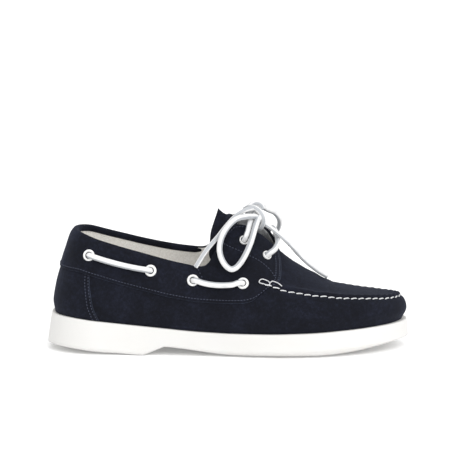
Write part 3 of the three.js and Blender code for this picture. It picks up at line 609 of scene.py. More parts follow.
# routes over the throat, from the near (lateral) side to the far side
laceRoutes = {
    "upperBar": [
        [154.8, -20.2, 93.6], [156.6, -14.8, 99.8], [158.4, -8.8, 97.8], [161, -1, 94],
        [161, 7.5, 97], [158.2, 13, 103], [155.6, 18.6, 101.6], [153.6, 23.6, 97],
    ],
    "lowerBar": [
        [174.6, -21, 78.8], [177.4, -16, 82.2], [177.8, -8, 84.4], [176.9, 3, 87.3],
        [175.6, 10.6, 90], [173.6, 17.4, 90], [171.2, 23, 87],
    ],
    "nearLoop": [
        [163, -8.5, 102.2], [159.5, -13, 103.4], [155.6, -17.5, 104.2], [151.8, -22, 104.5],
        [148, -26, 104.3], [144.5, -29.5, 103.1], [141.1, -32, 100.4], [137.9, -34, 96.6],
        [135.3, -35.5, 92], [133.7, -36, 86.7], [133.3, -36.5, 81.4], [134.3, -37.5, 76.3],
        [136.5, -39, 71.9], [139.3, -40.3, 68.8], [142.3, -40.5, 67.4], [145.7, -39.5, 68.5],
        [149.1, -37, 71.7], [152.5, -34, 76.8], [155.5, -31, 82.8], [157.8, -28, 88.9],
        [159.8, -23, 95], [161.7, -16, 99.7], [163.7, -9, 102.9],
    ],
    "nearEnd": [
        [162.6, -5, 108.7], [158.7, -9, 109.3], [154.9, -12.5, 109], [151, -16, 108],
        [147.2, -19, 106.1], [143.4, -22, 103.2], [139.6, -25, 99.4], [135.8, -28, 95.2],
        [132.1, -31, 90.8], [128.3, -33.5, 86.8], [124.5, -35.5, 82.5], [120.8, -37, 77.5],
        [117.8, -38.3, 72.9], [115.2, -39.3, 68.9],
    ],
    "farLoop": [
        [160.5, 0, 112.6], [163.8, 3.6, 111.4], [167, 7, 108], [170.6, 11, 105.4],
        [176, 15.5, 102.3], [179.5, 19.5, 97.2], [180, 23, 92.5], [178.6, 26, 87.5],
        [175.5, 29, 81], [170.5, 31.5, 75], [165, 33, 71.8], [160.5, 33.2, 72.8],
        [159.3, 31.5, 78], [161, 27.5, 86], [163.7, 21.5, 94], [165.3, 15, 100], [165, 9, 102.4],
    ],
    "farEnd": [
        [167.7, -5.5, 96.6], [172.6, -8, 93.8], [177.1, -9.5, 90.5], [182.5, -9, 85.6],
        [188.1, -7, 79.8], [193.6, -3.5, 73.2], [199, -2, 67.4], [204.5, -0.5, 62.5],
        [210.1, 1, 58.1], [216.4, 3, 54],
    ],
}


# points, faces and lace coordinates of a cord of softly squared section, with rounded ends; it is
# rolled on its own line from a first side that lies level
def tubeParts(line, thickness, sides, roll=0.0):
    tangents = unit(np.gradient(line, axis=0))
    nearlyUp = [0.3, 0.2, 1]   # no cord starts along this
    side = unit(np.cross(tangents[0], nearlyUp))
    side = side * math.cos(roll) + np.cross(tangents[0], side) * math.sin(roll)
    rings, frames, travelled = [], [], travelledAlong(line)
    angles = np.arange(sides) / sides * 2 * math.pi
    for tangent in tangents:
        side = unit(side - tangent * np.dot(side, tangent))
        frames.append((side, np.cross(tangent, side)))
    radius = thickness / 2
    square = lace["squareness"]
    reach = (np.abs(np.cos(angles)) ** square + np.abs(np.sin(angles)) ** square) ** (-1 / square)
    reach = (reach / reach.mean())[:, None]
    for share, back in lace["endRings"]:
        centre = line[0] + tangents[0] * back * lace["endRound"] * radius
        rings.append((centre, frames[0], share, travelled[0]))
    for centre, axes, run in zip(line, frames, travelled):
        rings.append((centre, axes, 1.0, run))
    for share, back in reversed(lace["endRings"]):
        centre = line[-1] - tangents[-1] * back * lace["endRound"] * radius
        rings.append((centre, frames[-1], share, travelled[-1]))
    points = np.concatenate([
        centre + radius * share * reach * (np.cos(angles)[:, None] * a + np.sin(angles)[:, None] * b)
        for centre, (a, b), share, _ in rings])
    faces, spots = [], []
    for i in range(len(rings) - 1):
        for j in range(sides):
            k = (j + 1) % sides
            faces.append((i * sides + j, i * sides + k, (i + 1) * sides + k, (i + 1) * sides + j))
            low, high = rings[i][3] / perMetre, rings[i + 1][3] / perMetre
            around = 2 * math.pi * radius / perMetre / sides
            spots += [(low, j * around), (low, (j + 1) * around),
                      (high, (j + 1) * around), (high, j * around)]
    faces.append(tuple(reversed(range(sides))))
    faces.append(tuple(range((len(rings) - 1) * sides, len(rings) * sides)))
    spots += [(0, 0)] * (2 * sides)
    return points, faces, spots


# the same for several cords in one mesh
def joinedTubes(lines, thickness, sides, roll=0.0):
    points, faces, spots, count = [], [], [], 0
    for line in lines:
        tube, tubeFaces, tubeSpots = tubeParts(line, thickness, sides, roll)
        points.append(tube)
        faces += [tuple(corner + count for corner in face) for face in tubeFaces]
        spots += tubeSpots
        count += len(tube)
    return np.concatenate(points), faces, spots


# one piece of lace from one or more routes
def makeLace(name, routes, thickness, nodes, roll=0.0):
    points, faces, spots = joinedTubes(routes, thickness, lace["sides"], roll)
    piece = makeMesh(name, points, faces, [whiteLace])
    layer = piece.data.uv_layers.new(name="alongLace")
    layer.data.foreach_set("uv", np.array(spots, float).reshape(-1))
    return fitPiece(piece, "lace", *nodes)


# a free loop or end of the bow; an end is pulled thinner
def makeCord(name, route, farEnd, node, roll=0):
    line = smoothPath(laceRoutes[route], lace["spacing"])
    thickness = lace["endThickness" if farEnd == "bare" else "thickness"]
    piece = makeLace(name, [line], thickness, [node], math.radians(roll))
    centres = placed(line)
    print(name, round(pathLength(line)), "mm long")


# strands that show on the knot: the turn round both bows, and the short ones under it
knotStrands = [
    [[152.5, -2.5, 107.2], [156, -6.5, 109.6], [160.2, -8.6, 109.4], [164.2, -9.6, 106.4],
     [166.4, -9.8, 102.2], [166.6, -9, 98.4], [165, -7.6, 95], [162.2, -5, 92.6], [159.4, -1.6, 92]],
    [[153, -6, 106.2], [156.4, -3.4, 110.4], [160.4, -1, 112.4], [164.2, 1, 110.6], [166, 2, 107]],
    [[157.4, -9.5, 98], [158.6, -8, 102.5], [160.8, -4.5, 105.5], [163.5, 0, 105.5]],
    [[161.4, -11, 98.5], [162.4, -6.5, 103.4], [161.6, -1, 105.8], [160, 4, 104]],
    [[158.5, 12.5, 102.6], [160, 7.5, 105.5], [161.2, 2, 106.6], [161, -3, 105]],
    [[163.8, 8.5, 102], [164, 3, 101], [163.8, -2.6, 99.6], [162.8, -6, 100.4]],
]
bowKnot = makeLace("bow_knot", [smoothPath(strand, lace["spacing"]) for strand in knotStrands],
                   knot["thickness"], ["lace_knot"])
# the last number turns each cord on its own line, in degrees, and so where its painted shade sides face
makeCord("bow_loop_near", "nearLoop", "object", "lace_loop_near", -16)
makeCord("bow_end_near", "nearEnd", "bare", "lace_end_near")
makeCord("bow_loop_far", "farLoop", "object", "lace_loop_far", 70)
makeCord("bow_end_far", "farEnd", "bare", "lace_end_far", -10)

eyelet = {
    "rim": 4.55, "eyestayRim": 3.65, "hole": 2.5, "barrel": 3.0, "rimThickness": 1.4, "lift": 0.9,
    "depth": 1.5, "eyestayDepth": 3, "sides": 40,   # the lining hides the quarters' barrels
    "neck": 0.4,                                    # the barrel stops this far under the ring
    "curl": (-0.35, 1.12), "curlSteps": 14,         # the ring's rolled section, in half turns
    "pressed": 0.25,                                # its underside is pressed flat
}
eyeletRows = [   # x and height on each side: four along the quarter, two in the eyestay
    {"x": 34.4, lateral: 75.9, medial: 77.6},
    {"x": 81, lateral: 64.9, medial: 67.6},
    {"x": 113.2, lateral: 57.8, medial: 61},
    {"x": 150.9, lateral: 56, medial: 58.4},
    {"x": 151.6, lateral: 86.2, medial: 89.6},
    {"x": 168.8, lateral: 74.4, medial: 78},
]
upperEyelet, lowerEyelet = 4, 5
sideRuns = [   # roll turns the lace on its own line, in degrees, and so where its painted shade sides face
    {"name": "rear", "from": 0, "to": 1, "sag": 1.2, "roll": 48},
    {"name": "front", "from": 2, "to": 3, "sag": 2.6, "roll": 132},
]
sideNames = {lateral: "lateral", medial: "medial"}


# where the wall has a given x and height, and which way it faces there
def wallAt(side, x, z):
    station, level = wallPlace(side, x, z)
    return wallPoint(side, station, level), wallNormal(side, station, level)


eyeletPlaces = {(side, i): wallAt(side, row["x"], row[side])
                for side in (lateral, medial) for i, row in enumerate(eyeletRows)}


# a rolled ring with a short barrel behind it
def makeEyelet(side, i):
    point, normal = eyeletPlaces[(side, i)]
    across = unit(np.cross(normal, [0, 0, 1]))
    upward = np.cross(across, normal)
    onEyestay = i >= upperEyelet
    rim = eyelet["eyestayRim" if onEyestay else "rim"]
    depth = eyelet["eyestayDepth" if onEyestay else "depth"]
    half = (rim - eyelet["hole"]) / 2
    middle = (rim + eyelet["hole"]) / 2
    curl = np.linspace(eyelet["curl"][0] * math.pi, eyelet["curl"][1] * math.pi, eyelet["curlSteps"])
    profile = [(eyelet["hole"], -depth), (eyelet["barrel"], -depth),
               (eyelet["barrel"], eyelet["lift"] - eyelet["neck"])]
    for a in curl:
        height = eyelet["rimThickness"] * max(math.sin(a), -eyelet["pressed"])
        profile.append((middle + half * math.cos(a), eyelet["lift"] + height))
    turns = np.arange(eyelet["sides"]) / eyelet["sides"] * 2 * math.pi
    points = [point + r * (math.cos(a) * across + math.sin(a) * upward) + h * normal
              for a in turns for r, h in profile]
    rows = len(profile)
    faces = []
    for k in range(eyelet["sides"]):
        after = (k + 1) % eyelet["sides"]
        for j in range(rows):
            up = (j + 1) % rows
            faces.append((k * rows + j, k * rows + up, after * rows + up, after * rows + j))
    name = f"eyelet_ring_{sideNames[side]}_{i + 1}"
    piece = makeMesh(name, points, faces, [whiteEnamel])
    fitPiece(piece, "eyelet", f"eyelet_{sideNames[side]}_{i + 1}")


for side, i in eyeletPlaces:
    makeEyelet(side, i)
print("eyelets made")


# out of an eyelet's hole and clear of its rim, heading in a given direction
def leadOut(place, heading):
    point, normal = place
    ahead = unit(heading - normal * np.dot(heading, normal))
    return [point + ahead * forward + normal * outward for forward, outward in lace["leadOut"]]


def threaded(start, between, end):
    leaving = leadOut(start, between[0] - start[0])
    arriving = leadOut(end, between[-1] - end[0])
    return smoothPath(np.array([*leaving, *between, *reversed(arriving)]), lace["spacing"])


def makeSideRun(side, run):
    start, end = eyeletPlaces[(side, run["from"])], eyeletPlaces[(side, run["to"])]
    between = []
    for share in lace["runShares"]:
        straight = mix(start[0], end[0], share)
        drop = 4 * run["sag"] * share * (1 - share)
        point, normal = wallAt(side, straight[0], straight[2] - drop)
        between.append(point + normal * (lace["thickness"] / 2 + lace["runGap"]))
    node = f"lace_side_{sideNames[side]}_{run['name']}"
    makeLace(f"side_run_{sideNames[side]}_{run['name']}", [threaded(start, between, end)],
             lace["thickness"], [node], math.radians(run["roll"]))


for side in (lateral, medial):
    for run in sideRuns:
        makeSideRun(side, run)
for name, row, route in (("upper", upperEyelet, "upperBar"), ("lower", lowerEyelet, "lowerBar")):
    line = threaded(eyeletPlaces[(lateral, row)], np.array(laceRoutes[route]), eyeletPlaces[(medial, row)])
    makeLace(f"throat_bar_{name}", [line], lace["thickness"], [f"lace_{name}_bar"])
print("laces made")

upper = {
    "quarterSpacing": 1.8, "vampSpacing": 0.95,
    "stitchPitch": 6.13,
    "lipGrows": (166, 184),                 # the plug's gathered lip grows over this stretch
    "farLip": 0.75,                         # the far side's lip is flatter
    "toeLip": 0.8, "toeLipOver": (255, 278),
    "pleat": 0.12, "toePleat": 0.2, "toePleatOver": (222, 262),   # gathers stand out between stitches
    "pleatAt": 2.2, "pleatWidth": 3.6,
    "dimple": 0.28, "dimpleAt": -1.4, "dimpleWidth": 1.7,         # each stitch pulls the side wall in
    "unevenness": 0.16,
    "swells": {"along": 7.3, "slowAlong": 17, "up": 6.1, "slowUp": 11},     # how long its swells are
    "reliefFoot": (0.05, 0.6), "reliefTop": (2.86, 2.96),   # levels over which all relief fades
    "foldLip": {"height": 0.45, "at": 1.9, "width": 0.9},   # beside a fold, in shares of its size
    "greyFrom": 124, "greyLevel": 2.1,      # bare split leather lines the front
    "sideLevels": (0, 0.1, 0.22, 0.36, 0.5, 0.64, 0.78, 0.92, 1.06, 1.2, 1.34, 1.47, 1.59, 1.7),
    "underSeam": (-5, -3.9, -3, -2.3, -1.7, -1.2, -0.8, -0.5, -0.25),
    "overSeam": (0, 0.25, 0.55, 0.9, 1.3, 1.8, 2.4, 3.1, 4, 5, 6.2, 7.6),
    "crowdUnder": 22, "crowdOver": 24,      # those rows close up where the wall is lower than this
    "topShares": (0.1, 0.2, 0.3, 0.4, 0.5, 0.6, 0.7, 0.8, 0.88, 0.94, 1),
}
lipShape = curves("distance lift", [
    [-7, 0], [-3, -0.05], [-1.3, -0.3], [-0.35, -0.8], [0, -0.45], [0.55, 0.9], [1.3, 1.6],
    [2.3, 1.85], [3.6, 1.45], [5.6, 0.65], [8.5, 0.12], [12, 0],
])
# soft folds, each from one place on the wall (station, level) to another
creases = [
    {"from": (206, 2.12), "to": (213, 2.8), "width": 3.6, "depth": 0.5},      # flex line over the vamp
    {"from": (219, 2.2), "to": (223, 2.85), "width": 3, "depth": 0.3},
    {"from": (203, 1.88), "to": (195, 1.2), "width": 4, "depth": 0.45},       # the same on the side wall
    {"from": (226, 1.8), "to": (218, 1.25), "width": 4, "depth": 0.25},
    {"from": (126, 1.95), "to": (143, 1.4), "width": 5, "depth": 0.5},        # sag under the front lace
    {"from": (150, 2.3), "to": (163, 1.72), "width": 4.5, "depth": 0.45},
    {"from": (46, 2.25), "to": (58, 1.5), "width": 4.5, "depth": 0.45},       # over the counter's edge
    {"from": (114, 2.9), "to": (121, 2.3), "width": 3.2, "depth": 0.5},       # where the eyestay starts
    {"from": (8, 2.35), "to": (26, 2.1), "width": 3.5, "depth": 0.35},        # round the heel
    {"from": (262, 1.7), "to": (276, 1.3), "width": 4, "depth": 0.25},        # toe
]

seamRun = np.linspace(last["seamStart"], last["length"], 500)
seamLength = {side: travelledAlong(seamPoint(side, seamRun)) for side in (lateral, medial)}
halfStitches = int(round(seamLength[lateral][-1] / upper["stitchPitch"]))


# turns through one gather from stitch to stitch, counted from the middle of the toe
def gatherPhase(side, x):
    share = np.interp(x, seamRun, seamLength[side]) / seamLength[side][-1]
    return 2 * math.pi * halfStitches * (1 - share)


# the soft folds and a slight unevenness of the whole wall
def creaseRelief(side, x, level):
    points = wallPoint(side, x, level)
    along, up = points[..., 0], points[..., 2]
    swells, lip = upper["swells"], upper["foldLip"]
    relief = upper["unevenness"] * (np.sin(along / swells["along"] + up / swells["slowUp"] + side)
                                    * np.sin(up / swells["up"] - along / swells["slowAlong"]))
    for crease in creases:
        ends = [wallPoint(side, np.float64(x0), np.float64(l0))
                for x0, l0 in (crease["from"], crease["to"])]
        line = ends[1] - ends[0]
        share = np.clip(((points - ends[0]) @ line) / (line @ line), 0, 1)[..., None]
        away = np.linalg.norm(points - ends[0] - share * line, axis=-1) / crease["width"]
        raised = lip["height"] * np.exp(-((away - lip["at"]) / lip["width"]) ** 2)
        relief = relief - crease["depth"] * (np.exp(-away ** 2) - raised)
    return relief * smoothStep(*upper["reliefFoot"], level) * (1 - smoothStep(*upper["reliefTop"], level))


# the plug's lip along the moccasin seam, its gathers, and the dimple under each stitch
def lipRelief(side, x, level):
    seam, top, belly = seamPoint(side, x), topPoint(side, x), bellyPoint(side, x)
    above = (level - 2) * np.linalg.norm(top - seam, axis=-1)
    beneath = (level - 2) * np.linalg.norm(seam - belly, axis=-1)
    distance = np.where(level > 2, above, beneath)
    puff = np.cos(gatherPhase(side, x))
    height = 1 if side == lateral else upper["farLip"]
    depth = mix(upper["pleat"], upper["toePleat"], smoothStep(*upper["toePleatOver"], x))
    pleats = -depth * puff * np.exp(-((distance - upper["pleatAt"]) / upper["pleatWidth"]) ** 2)
    pulled = np.exp(-((distance - upper["dimpleAt"]) / upper["dimpleWidth"]) ** 2)
    dimples = -upper["dimple"] * (0.5 + 0.5 * puff) * pulled
    ramp = smoothStep(*upper["lipGrows"], x)
    toeSoft = mix(1, upper["toeLip"], smoothStep(*upper["toeLipOver"], x))
    shape = lipShape["lift"](distance)
    shape = np.where(shape > 0, shape * height * toeSoft, shape)
    return ramp * (shape + np.where(level > 2, pleats, 0) + dimples)


# point of the finished outer face, or at a height over it, and the way it faces
def skin(side, x, level, lift=0.0):
    x, level = np.broadcast_arrays(np.asarray(x, float), np.asarray(level, float))
    normal = wallNormal(side, x, level)
    relief = creaseRelief(side, x, level) + lipRelief(side, x, level)
    return wallPoint(side, x, level) + normal * (relief + lift)[..., None], normal


def wallThickness(x, level):
    padded = smoothStep(*last["paddedLevels"], level) * (1 - smoothStep(*last["paddingEnds"], x))
    return mix(last["wall"], last["collarWall"], padded)


# levels of one column: even rows up the side, close ones by the seam, and even ones to the top line
def upperLevels(side, x):
    seam, top, belly = seamPoint(side, x), topPoint(side, x), bellyPoint(side, x)
    above, beneath = np.linalg.norm(top - seam, axis=-1), np.linalg.norm(seam - belly, axis=-1)
    rows = [np.full(x.shape, level) for level in upper["sideLevels"]]
    for distance in upper["underSeam"]:
        rows.append(2 + distance * np.minimum(1, beneath / upper["crowdUnder"]) / beneath)
    for distance in upper["overSeam"]:
        rows.append(2 + distance * np.minimum(1, above / upper["crowdOver"]) / above)
    lastLip = rows[-1]
    for share in upper["topShares"]:
        rows.append(mix(lastLip, 3, share))
    return np.stack(rows, axis=1)


def makeUpper():
    seamStart = last["seamStart"]
    x = np.concatenate([evenStations(0, seamStart, upper["quarterSpacing"])[:-1],
                        evenStations(seamStart, last["length"], upper["vampSpacing"])])
    x = np.sort(np.append(x, last["throatEnd"]))
    base, relief, thickness, grey = [], [], [], []
    for side, stations in ((lateral, x), (medial, x[::-1][1:-1])):
        levels = upperLevels(side, stations)
        across = np.broadcast_to(stations[:, None], levels.shape)
        base.append(wallPoint(side, across, levels))
        relief.append(creaseRelief(side, across, levels) + lipRelief(side, across, levels))
        thickness.append(wallThickness(across, levels))
        grey.append((across > upper["greyFrom"]) & (levels > upper["greyLevel"]))
    rows = base[0].shape[1]
    base = np.concatenate(base).reshape(-1, 3)
    relief, thickness, grey = (np.concatenate(part).reshape(-1) for part in (relief, thickness, grey))
    first, faces = welded(base, gridFaces(2 * len(x) - 2, rows, closed=True))
    base, relief, thickness, grey = base[first], relief[first], thickness[first], grey[first]
    normals = vertexNormals(base, faces)
    outer = base + normals * relief[:, None]
    inner = base - normals * thickness[:, None]
    points, allFaces, strips = closedShell(outer, inner, faces)
    inside = [2 if all(grey[corner] for corner in face) else 1 for face in faces]
    finishes = [0] * len(faces) + inside + [3] * strips
    materials = [navySuede, collarLining, greyLining, cutEdge]
    fitPiece(makeMesh("upper_shell", points, allFaces, materials, finishes), "suede", "upper")


makeUpper()
print("upper made, with", 2 * halfStitches, "gathers")

# the strap of suede round the collar that carries the eyelets
saddle = {
    "spacing": 1.4, "thickness": 1.1, "edge": 0.9, "front": 175, "leanFrom": 148,
    "rowsFrom": 2.4, "frontSteps": (1.6, 1, 0.6, 0.3, 0),     # close rows behind the rounded front end
    "closeSteps": (0, 0.3, 0.65, 1.1, 1.8), "upSteps": 22,    # and over the lower edge
    "sunk": 0.12,                 # its face starts this far inside the upper's
    "root": 0.5,                  # and its back this far
    "topTrim": 1,                 # the rolled edge starts this far under the top line
    "rollAngles": (18, 38, 60, 82, 104, 126, 148, 168), "rollRoot": 0.6,
    "band": 3, "eyestayBand": 0.4,          # how far it is turned down inside
    "bandShares": (0.12, 0.4, 0.7, 0.92, 1.0), "bandStands": (0.45, 0.5, 0.5, 0.4, -0.15),
    "bandRoot": 0.7,
    "cutOver": (112, 127),        # here its edge changes from turned in to cut, as on the eyestay
    "cutAngles": (1.1, 2), "cutRoll": -0.45, "cutBand": -0.6,   # where and how deep the cut edge sinks
    "overCounter": 0.75,          # it stands higher where it lies on the counter
    "counterStretch": (-1, 6), "counterShares": (0.3, 0.8),
    "skived": 0.5, "skivedShares": (0.8, 1),    # pared thinner towards the rolled edge
    "heelPad": 0.8, "padStretch": (8, 30),      # soft padding round the top of the heel
    "padShares": (0.4, 0.75), "padTop": (0.88, 1),
}
saddleEdge = curves("x z", [
    [0, 63.9], [20, 63.2], [36, 60], [58, 54.1], [78, 49.1], [98, 44.6], [118, 42], [138, 41.3],
    [148, 41.5], [158, 43.2], [165, 47.4], [171.3, 51.9], [176, 53], [190, 50],
])
# how far the front end leans forward on its way up
saddleLean = curves("share x", [
    [0, -3.7], [0.06, 0.2], [0.14, 3], [0.3, 5], [0.6, 5.4], [0.85, 4], [1, 3.2],
])
# the piece of suede round the heel, tucked under the saddle; foot and top are where its front edge runs
counter = {
    "thickness": 0.8, "edge": 0.8, "foot": 41, "top": 32.6, "lean": 1.4, "spacing": 1.6, "tuck": 3,
    "sunk": 0.1, "root": 0.5, "lowest": 0.03, "upSteps": 34,
    "rowsFrom": 1.8, "frontSteps": (1.1, 0.6, 0.3, 0),
}


# stations and levels of the saddle at distances from its lower edge, or from its top if negative
def saddlePlaces(side, x, distances):
    lean = smoothStep(saddle["leanFrom"], saddle["front"], x)
    lowest = levelAt(side, x, saddleEdge["z"](x), 0.5, 2.4)
    fine = mix(lowest[:, None], 3, np.linspace(0, 1, 60)[None, :])
    line = wallPoint(side, x[:, None], fine)
    steps = np.linalg.norm(np.diff(line, axis=1), axis=2)
    travelled = np.concatenate([np.zeros((len(x), 1)), np.cumsum(steps, axis=1)], axis=1)
    stations, levels = [], []
    for i, row in enumerate(distances):
        row = np.where(row < 0, travelled[i, -1] + row, row)
        levels.append(np.interp(row, travelled[i], fine[i]))
        stations.append(x[i] + lean[i] * saddleLean["x"](row / travelled[i, -1]))
    heights = travelled[:, -1]
    return np.array(stations), np.array(levels), heights


def roundedEdge(distance, width):
    rest = np.clip(1 - distance / width, 0, 1)
    return np.sqrt(np.maximum(1 - rest ** 2, 0))


# how far the saddle stands out at a share of its height
def saddleLift(x, share=0.0):
    before, beyond = saddle["counterStretch"]
    onCounter = 1 - smoothStep(counter["top"] + before, counter["top"] + beyond, x)
    onCounter = onCounter * (1 - smoothStep(*saddle["counterShares"], share))
    thinning = 1 - saddle["skived"] * smoothStep(*saddle["skivedShares"], share)
    padded = (1 - smoothStep(*saddle["padStretch"], x)) * smoothStep(*saddle["padShares"], share)
    padded = padded * (1 - smoothStep(*saddle["padTop"], share))
    return saddle["thickness"] * thinning + saddle["overCounter"] * onCounter + saddle["heelPad"] * padded


# outer and inner points of one side of the saddle: up outside, over the top edge and down inside
def saddleSide(side, x):
    close = list(saddle["closeSteps"])
    shares = np.linspace(0, 1, saddle["upSteps"])[1:]
    _, _, heights = saddlePlaces(side, x, np.zeros((len(x), 1)))
    reach = heights - saddle["topTrim"]
    distances = np.array([close + list(mix(close[-1], r, shares)) for r in reach])
    stations, levels, _ = saddlePlaces(side, x, distances)
    frontEdge = roundedEdge((saddle["front"] - x)[:, None], saddle["edge"])
    upShare = distances / heights[:, None]
    lift = saddleLift(stations, upShare) * roundedEdge(distances, saddle["edge"]) * frontEdge
    outside, _ = skin(side, stations, levels, lift - saddle["sunk"])
    under, _ = skin(side, stations, levels, -saddle["root"])
    topX, topLevel = stations[:, -1], levels[:, -1]
    seat, facing = skin(side, topX, topLevel)
    upward = unit(wallPoint(side, topX, topLevel) - wallPoint(side, topX, topLevel - 0.02))
    thickness = wallThickness(topX, topLevel)[:, None]
    centre = seat - facing * thickness / 2
    proud = saddleLift(topX, 1)[:, None] * frontEdge - saddle["sunk"]
    raw = smoothStep(*saddle["cutOver"], topX)
    over, overUnder = [], []
    for angle in np.radians(saddle["rollAngles"]):
        spoke = facing * math.cos(angle) + upward * math.sin(angle)
        cutAway = raw[:, None] * smoothStep(*saddle["cutAngles"], angle)
        over.append(centre + (thickness / 2 + mix(proud, saddle["cutRoll"], cutAway)) * spoke)
        overUnder.append(centre + (thickness / 2 - saddle["rollRoot"]) * spoke)
    band = mix(saddle["band"], saddle["eyestayBand"], raw)
    depth = band[:, None] * np.array(saddle["bandShares"])[None, :] + saddle["topTrim"]
    insideX, insideLevel, _ = saddlePlaces(side, x, -depth)
    wall, wallFacing = wallPoint(side, insideX, insideLevel), wallNormal(side, insideX, insideLevel)
    deep = wallThickness(insideX, insideLevel)[..., None]
    stand = mix(np.array(saddle["bandStands"])[None, :, None], saddle["cutBand"], raw[:, None, None])
    inside = wall - wallFacing * (deep + stand)
    insideUnder = wall - wallFacing * (deep - saddle["bandRoot"])
    outer = np.concatenate([outside, np.stack(over, axis=1), inside], axis=1)
    inner = np.concatenate([under, np.stack(overUnder, axis=1), insideUnder], axis=1)
    return outer, inner


# stations of a layer of suede, closer together behind its front edge
def layerStations(layer, front):
    x = evenStations(0, front - layer["rowsFrom"], layer["spacing"])
    return np.append(x, front - np.array(layer["frontSteps"]))


# a layer of suede round the heel from its two sides' grids; its outermost rows of faces are the paler raw
# edge with a painted highlight
def makeLayer(name, sides, paleHighlightFoot, paleHighlightEnds):
    outer, inner = (np.concatenate(part) for part in zip(*sides))
    columns, rows = outer.shape[:2]
    points, faces, strips = closedShell(outer.reshape(-1, 3), inner.reshape(-1, 3),
                                        gridFaces(columns, rows))
    finishes = [0] * (len(faces) - strips) + [1] * strips
    for i in range(columns - 1):
        for j in range(rows - 1):
            if j < paleHighlightFoot or min(i, columns - 2 - i) < paleHighlightEnds:
                finishes[i * (rows - 1) + j] = 2
    fitPiece(makeMesh(name, points, faces, [navySuede, cutEdge, paleEdgeAndHighlight], finishes), "suede")


def makeSaddle():
    x = layerStations(saddle, saddle["front"])
    makeLayer("saddle_panel", [saddleSide(medial, x[::-1]), saddleSide(lateral, x[1:])], 1, 3)


# stations and levels of the counter at shares of its height
def counterPlaces(side, x, shares):
    upEdge = levelAt(side, x, saddleEdge["z"](x) + counter["tuck"], 0.5, 2.9)
    levels = mix(counter["lowest"], upEdge[:, None], shares[None, :])
    front = mix(counter["top"], counter["foot"], (1 - shares) ** counter["lean"])[None, :]
    return x[:, None] / counter["foot"] * front, levels


def makeCounter():
    x = layerStations(counter, counter["foot"])
    sides = []
    for side, stations in ((medial, x[::-1]), (lateral, x[1:])):
        places, levels = counterPlaces(side, stations, np.linspace(0, 1, counter["upSteps"]))
        edge = roundedEdge(counter["foot"] - stations, counter["edge"])[:, None]
        outer, _ = skin(side, places, levels, counter["thickness"] * edge - counter["sunk"])
        inner, _ = skin(side, places, levels, -counter["root"])
        sides.append((outer, inner))
    makeLayer("heel_counter", sides, 0, 2)


makeSaddle()
makeCounter()
print("saddle and counter made")

stitchTreeInputs = ("Pitch", "Stitch Length", "Thread Width", "Arch", "Slant")


